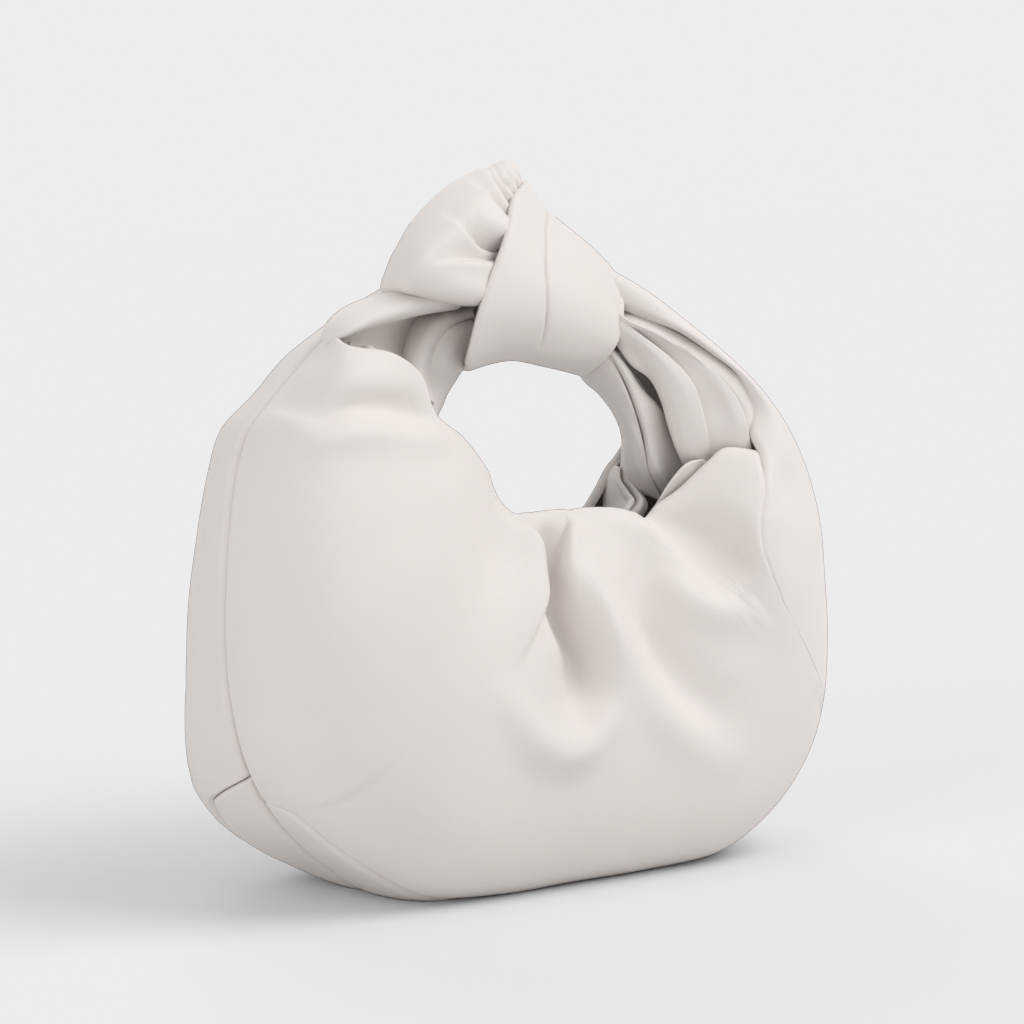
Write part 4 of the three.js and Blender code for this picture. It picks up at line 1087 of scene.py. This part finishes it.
def metal_material(name, color, roughness):
    tree, shader = new_material(name)
    brushed = add_node(tree, "ShaderNodeTexNoise", {"Scale": 900})
    level = add_node(tree, "ShaderNodeMapRange",
                     {"To Min": roughness - 0.06, "To Max": roughness + 0.1, "Value": brushed.outputs["Fac"]})
    wire(tree, shader, {"Base Color": (*color, 1), "Metallic": 1, "Roughness": level.outputs["Result"]})


def staged(name, data, place):
    """An object of the stage at its place."""
    obj = bpy.data.objects.new(name, data)
    bpy.context.scene.collection.objects.link(obj)
    obj.location = place
    return obj


def aim(obj, target):
    obj.rotation_euler = (Vector(target) - obj.location).to_track_quat("-Z", "Y").to_euler()


def make_backdrop(stage):
    """Light from all round, and an even grey behind the bag."""
    world = bpy.data.worlds.new("Studio")
    bpy.context.scene.world = world
    world.use_nodes = True
    tree = world.node_tree
    light = tree.nodes["Background"]
    wire(tree, light, {"Color": (1, 0.99, 0.98, 1), "Strength": stage.fill})
    plain = add_node(tree, "ShaderNodeBackground", {"Color": (stage.backdrop,) * 3 + (1,)})
    path = add_node(tree, "ShaderNodeLightPath")
    mix = add_node(tree, "ShaderNodeMixShader",
                   {"Fac": path.outputs["Is Camera Ray"], 1: light.outputs[0], 2: plain.outputs[0]})
    wire(tree, tree.nodes["World Output"], {"Surface": mix.outputs[0]})


def make_floor():
    """A wide floor that keeps only the bag's shadow."""
    mesh = bpy.data.meshes.new("floor")
    far = FLOOR_REACH
    mesh.from_pydata([(-far, -far, 0), (far, -far, 0), (far, far, 0), (-far, far, 0)], [], [(0, 1, 2, 3)])
    floor = staged("floor", mesh, (0, 0, 0))
    tree, shader = new_material("Floor")
    wire(tree, shader, {"Base Color": (0.8, 0.8, 0.8, 1), "Roughness": 1, "Specular IOR Level": 0})
    mesh.materials.append(bpy.data.materials["Floor"])
    floor.is_shadow_catcher = True


def make_lights(stage):
    for name, place, share in LIGHTS:
        light = bpy.data.lights.new(name, "AREA")
        light.energy = stage.key * share
        light.size = LIGHT_SIZE
        lamp = staged(name, light, place)
        aim(lamp, LIT_POINT)


def make_camera(stage):
    turn, rise = math.radians(stage.azimuth), math.radians(stage.elevation)
    target = Vector(CAMERA_TARGET)
    away = Vector((math.sin(turn) * math.cos(rise), -math.cos(turn) * math.cos(rise), math.sin(rise)))
    camera = staged("camera", bpy.data.cameras.new("camera"), target + stage.distance * away)
    aim(camera, target)
    camera.data.lens = CAMERA_LENS
    camera.data.shift_x, camera.data.shift_y = CAMERA_SHIFT
    camera.data.clip_end = 20
    bpy.context.scene.camera = camera
    bpy.context.scene.view_settings.view_transform = "Standard"


class HandbagShape(bpy.types.PropertyGroup):
    thickness: bpy.props.FloatProperty(
        name="Leather", description="Thickness of the outer leather", default=0.0015, unit="LENGTH")
    row_step: bpy.props.FloatProperty(
        name="Row step", description="Distance between rows of the sheets along the seam", default=0.002,
        unit="LENGTH")
    fold_scale: bpy.props.FloatProperty(
        name="Folds", description="How deep the slouch folds are", default=1.0, subtype="FACTOR")
    turn_radius: bpy.props.FloatProperty(
        name="Turned edge", description="Radius of the leather where it turns into a seam", default=0.0045,
        unit="LENGTH")
    turn_depth: bpy.props.FloatProperty(
        name="Seam depth", description="How far a seam lies under the leather", default=0.0036, unit="LENGTH")


class HandbagLook(bpy.types.PropertyGroup):
    leather: bpy.props.FloatVectorProperty(
        name="Leather", description="Colour of the outer leather", default=(0.797, 0.752, 0.724),
        subtype="COLOR")
    roughness: bpy.props.FloatProperty(
        name="Roughness", description="Roughness of the outer leather", default=0.58, subtype="FACTOR")
    grain_size: bpy.props.FloatProperty(
        name="Grain", description="Size of the leather's grain", default=0.0007, unit="LENGTH")
    grain_depth: bpy.props.FloatProperty(
        name="Grain depth", description="Depth of the leather's grain", default=0.0001, unit="LENGTH")
    facing: bpy.props.FloatVectorProperty(
        name="Facing", description="Colour of the facing leather", default=(0.78, 0.74, 0.708),
        subtype="COLOR")
    lining: bpy.props.FloatVectorProperty(
        name="Lining", description="Colour of the lining cloth", default=(0.58, 0.51, 0.43), subtype="COLOR")
    board: bpy.props.FloatVectorProperty(
        name="Board", description="Colour of the base board", default=(0.48, 0.4, 0.28), subtype="COLOR")
    metal: bpy.props.FloatVectorProperty(
        name="Metal", description="Colour of the closure's metal", default=(0.78, 0.74, 0.66),
        subtype="COLOR")


class HandbagStage(bpy.types.PropertyGroup):
    key: bpy.props.FloatProperty(
        name="Key light", description="Power of the main light", default=17.5, unit="POWER")
    fill: bpy.props.FloatProperty(
        name="Fill", description="Strength of the light from all round", default=0.57)
    backdrop: bpy.props.FloatProperty(
        name="Backdrop", description="Grey of the backdrop", default=0.8388, subtype="FACTOR")
    azimuth: bpy.props.FloatProperty(
        name="Azimuth", description="Direction of the camera round the bag, in degrees", default=-35)
    elevation: bpy.props.FloatProperty(
        name="Elevation", description="Height of the camera above the horizon, in degrees", default=8)
    distance: bpy.props.FloatProperty(
        name="Distance", description="Distance of the camera from the bag", default=1.6, unit="LENGTH")


class HandbagStep:
    """What all steps of the build share: each can be undone"""
    bl_options = {"REGISTER", "UNDO"}


class HANDBAG_OT_looks(HandbagStep, bpy.types.Operator):
    """Make the leathers, the lining cloth, the board and the metal"""
    bl_idname = "handbag.looks"
    bl_label = "Materials"

    def execute(self, context):
        look = context.scene.handbag_look
        grain_group()
        leather_material("Ivory leather", look.leather, look.roughness, look.grain_size, look.grain_depth)
        leather_material("Facing leather", look.facing, look.roughness + 0.05, look.grain_size * 1.1,
                         look.grain_depth)
        cloth_material("Lining cloth", look.lining)
        cloth_material("Board", look.board)
        metal_material("Snap metal", look.metal, 0.28)
        return {"FINISHED"}


class HANDBAG_OT_front(HandbagStep, bpy.types.Operator):
    """Build the front leather with its folds"""
    bl_idname = "handbag.front"
    bl_label = "Front leather"

    def execute(self, context):
        make_front(context.scene.handbag_shape)
        return {"FINISHED"}


class HANDBAG_OT_back(HandbagStep, bpy.types.Operator):
    """Build the back leather, which wraps round the right arm"""
    bl_idname = "handbag.back"
    bl_label = "Back leather"

    def execute(self, context):
        make_back(context.scene.handbag_shape)
        return {"FINISHED"}


class HANDBAG_OT_base(HandbagStep, bpy.types.Operator):
    """Build both base panels and finish the board"""
    bl_idname = "handbag.base"
    bl_label = "Base"

    def execute(self, context):
        make_base("front", FRONT_RIBS, FRONT_BASE, FRONT, context.scene.handbag_shape)
        make_base("back", BACK_RIBS, BACK_BASE, BACK, context.scene.handbag_shape)
        dress("base_board", "board")
        return {"FINISHED"}


class HANDBAG_OT_arms(HandbagStep, bpy.types.Operator):
    """Build the gathered pleats of both arms, and the roll of the left one"""
    bl_idname = "handbag.arms"
    bl_label = "Arms"

    def execute(self, context):
        make_arm("right", RIGHT_PLEATS)
        make_arm("left", LEFT_PLEATS, [roll()])
        return {"FINISHED"}


class HANDBAG_OT_knot(HandbagStep, bpy.types.Operator):
    """Build the knot: its loop, the band round it and the bunched leather inside"""
    bl_idname = "handbag.knot"
    bl_label = "Knot"

    def execute(self, context):
        make_loop(context.scene.handbag_shape)
        make_band()
        make_core()
        return {"FINISHED"}


class HANDBAG_OT_inside(HandbagStep, bpy.types.Operator):
    """Build the lining, the facings and the pocket"""
    bl_idname = "handbag.inside"
    bl_label = "Inside"

    def execute(self, context):
        for side in ("front", "back"):
            make_lining(side, context.scene.handbag_shape)
            make_facing(side, context.scene.handbag_shape)
        make_pocket(context.scene.handbag_shape)
        return {"FINISHED"}


class HANDBAG_OT_closure(HandbagStep, bpy.types.Operator):
    """Build the two halves of the magnetic closure and finish their washers"""
    bl_idname = "handbag.closure"
    bl_label = "Closure"

    def execute(self, context):
        make_closure()
        for node in ("snap_stud_washer", "snap_socket_washer"):
            dress(node, "snap_metal")
        return {"FINISHED"}


class HANDBAG_OT_stage(HandbagStep, bpy.types.Operator):
    """Set up the floor, the grey backdrop, the lights and the camera"""
    bl_idname = "handbag.stage"
    bl_label = "Stage"

    def execute(self, context):
        stage = context.scene.handbag_stage
        make_backdrop(stage)
        make_floor()
        make_lights(stage)
        make_camera(stage)
        return {"FINISHED"}


STEPS = (HANDBAG_OT_looks, HANDBAG_OT_front, HANDBAG_OT_back, HANDBAG_OT_base, HANDBAG_OT_arms,
         HANDBAG_OT_knot, HANDBAG_OT_inside, HANDBAG_OT_closure, HANDBAG_OT_stage)


class HANDBAG_PT_panel(bpy.types.Panel):
    bl_label = "Knotted Handbag"
    bl_space_type = "VIEW_3D"
    bl_region_type = "UI"
    bl_category = "Handbag"

    def draw(self, context):
        for group in (context.scene.handbag_shape, context.scene.handbag_look, context.scene.handbag_stage):
            box = self.layout.box()
            for name in group.__annotations__:
                box.prop(group, name)
        for step in STEPS:
            self.layout.operator(step.bl_idname)


CLASSES = (HandbagShape, HandbagLook, HandbagStage, *STEPS, HANDBAG_PT_panel)


def register():
    for item in CLASSES:
        bpy.utils.register_class(item)
    bpy.types.Scene.handbag_shape = bpy.props.PointerProperty(type=HandbagShape)
    bpy.types.Scene.handbag_look = bpy.props.PointerProperty(type=HandbagLook)
    bpy.types.Scene.handbag_stage = bpy.props.PointerProperty(type=HandbagStage)


def unregister():
    del bpy.types.Scene.handbag_shape
    del bpy.types.Scene.handbag_look
    del bpy.types.Scene.handbag_stage
    for item in reversed(CLASSES):
        bpy.utils.unregister_class(item)


def main():
    register()
    for step in STEPS:
        group, name = step.bl_idname.split(".")
        getattr(getattr(bpy.ops, group), name)()


if __name__ == "__main__":
    main()
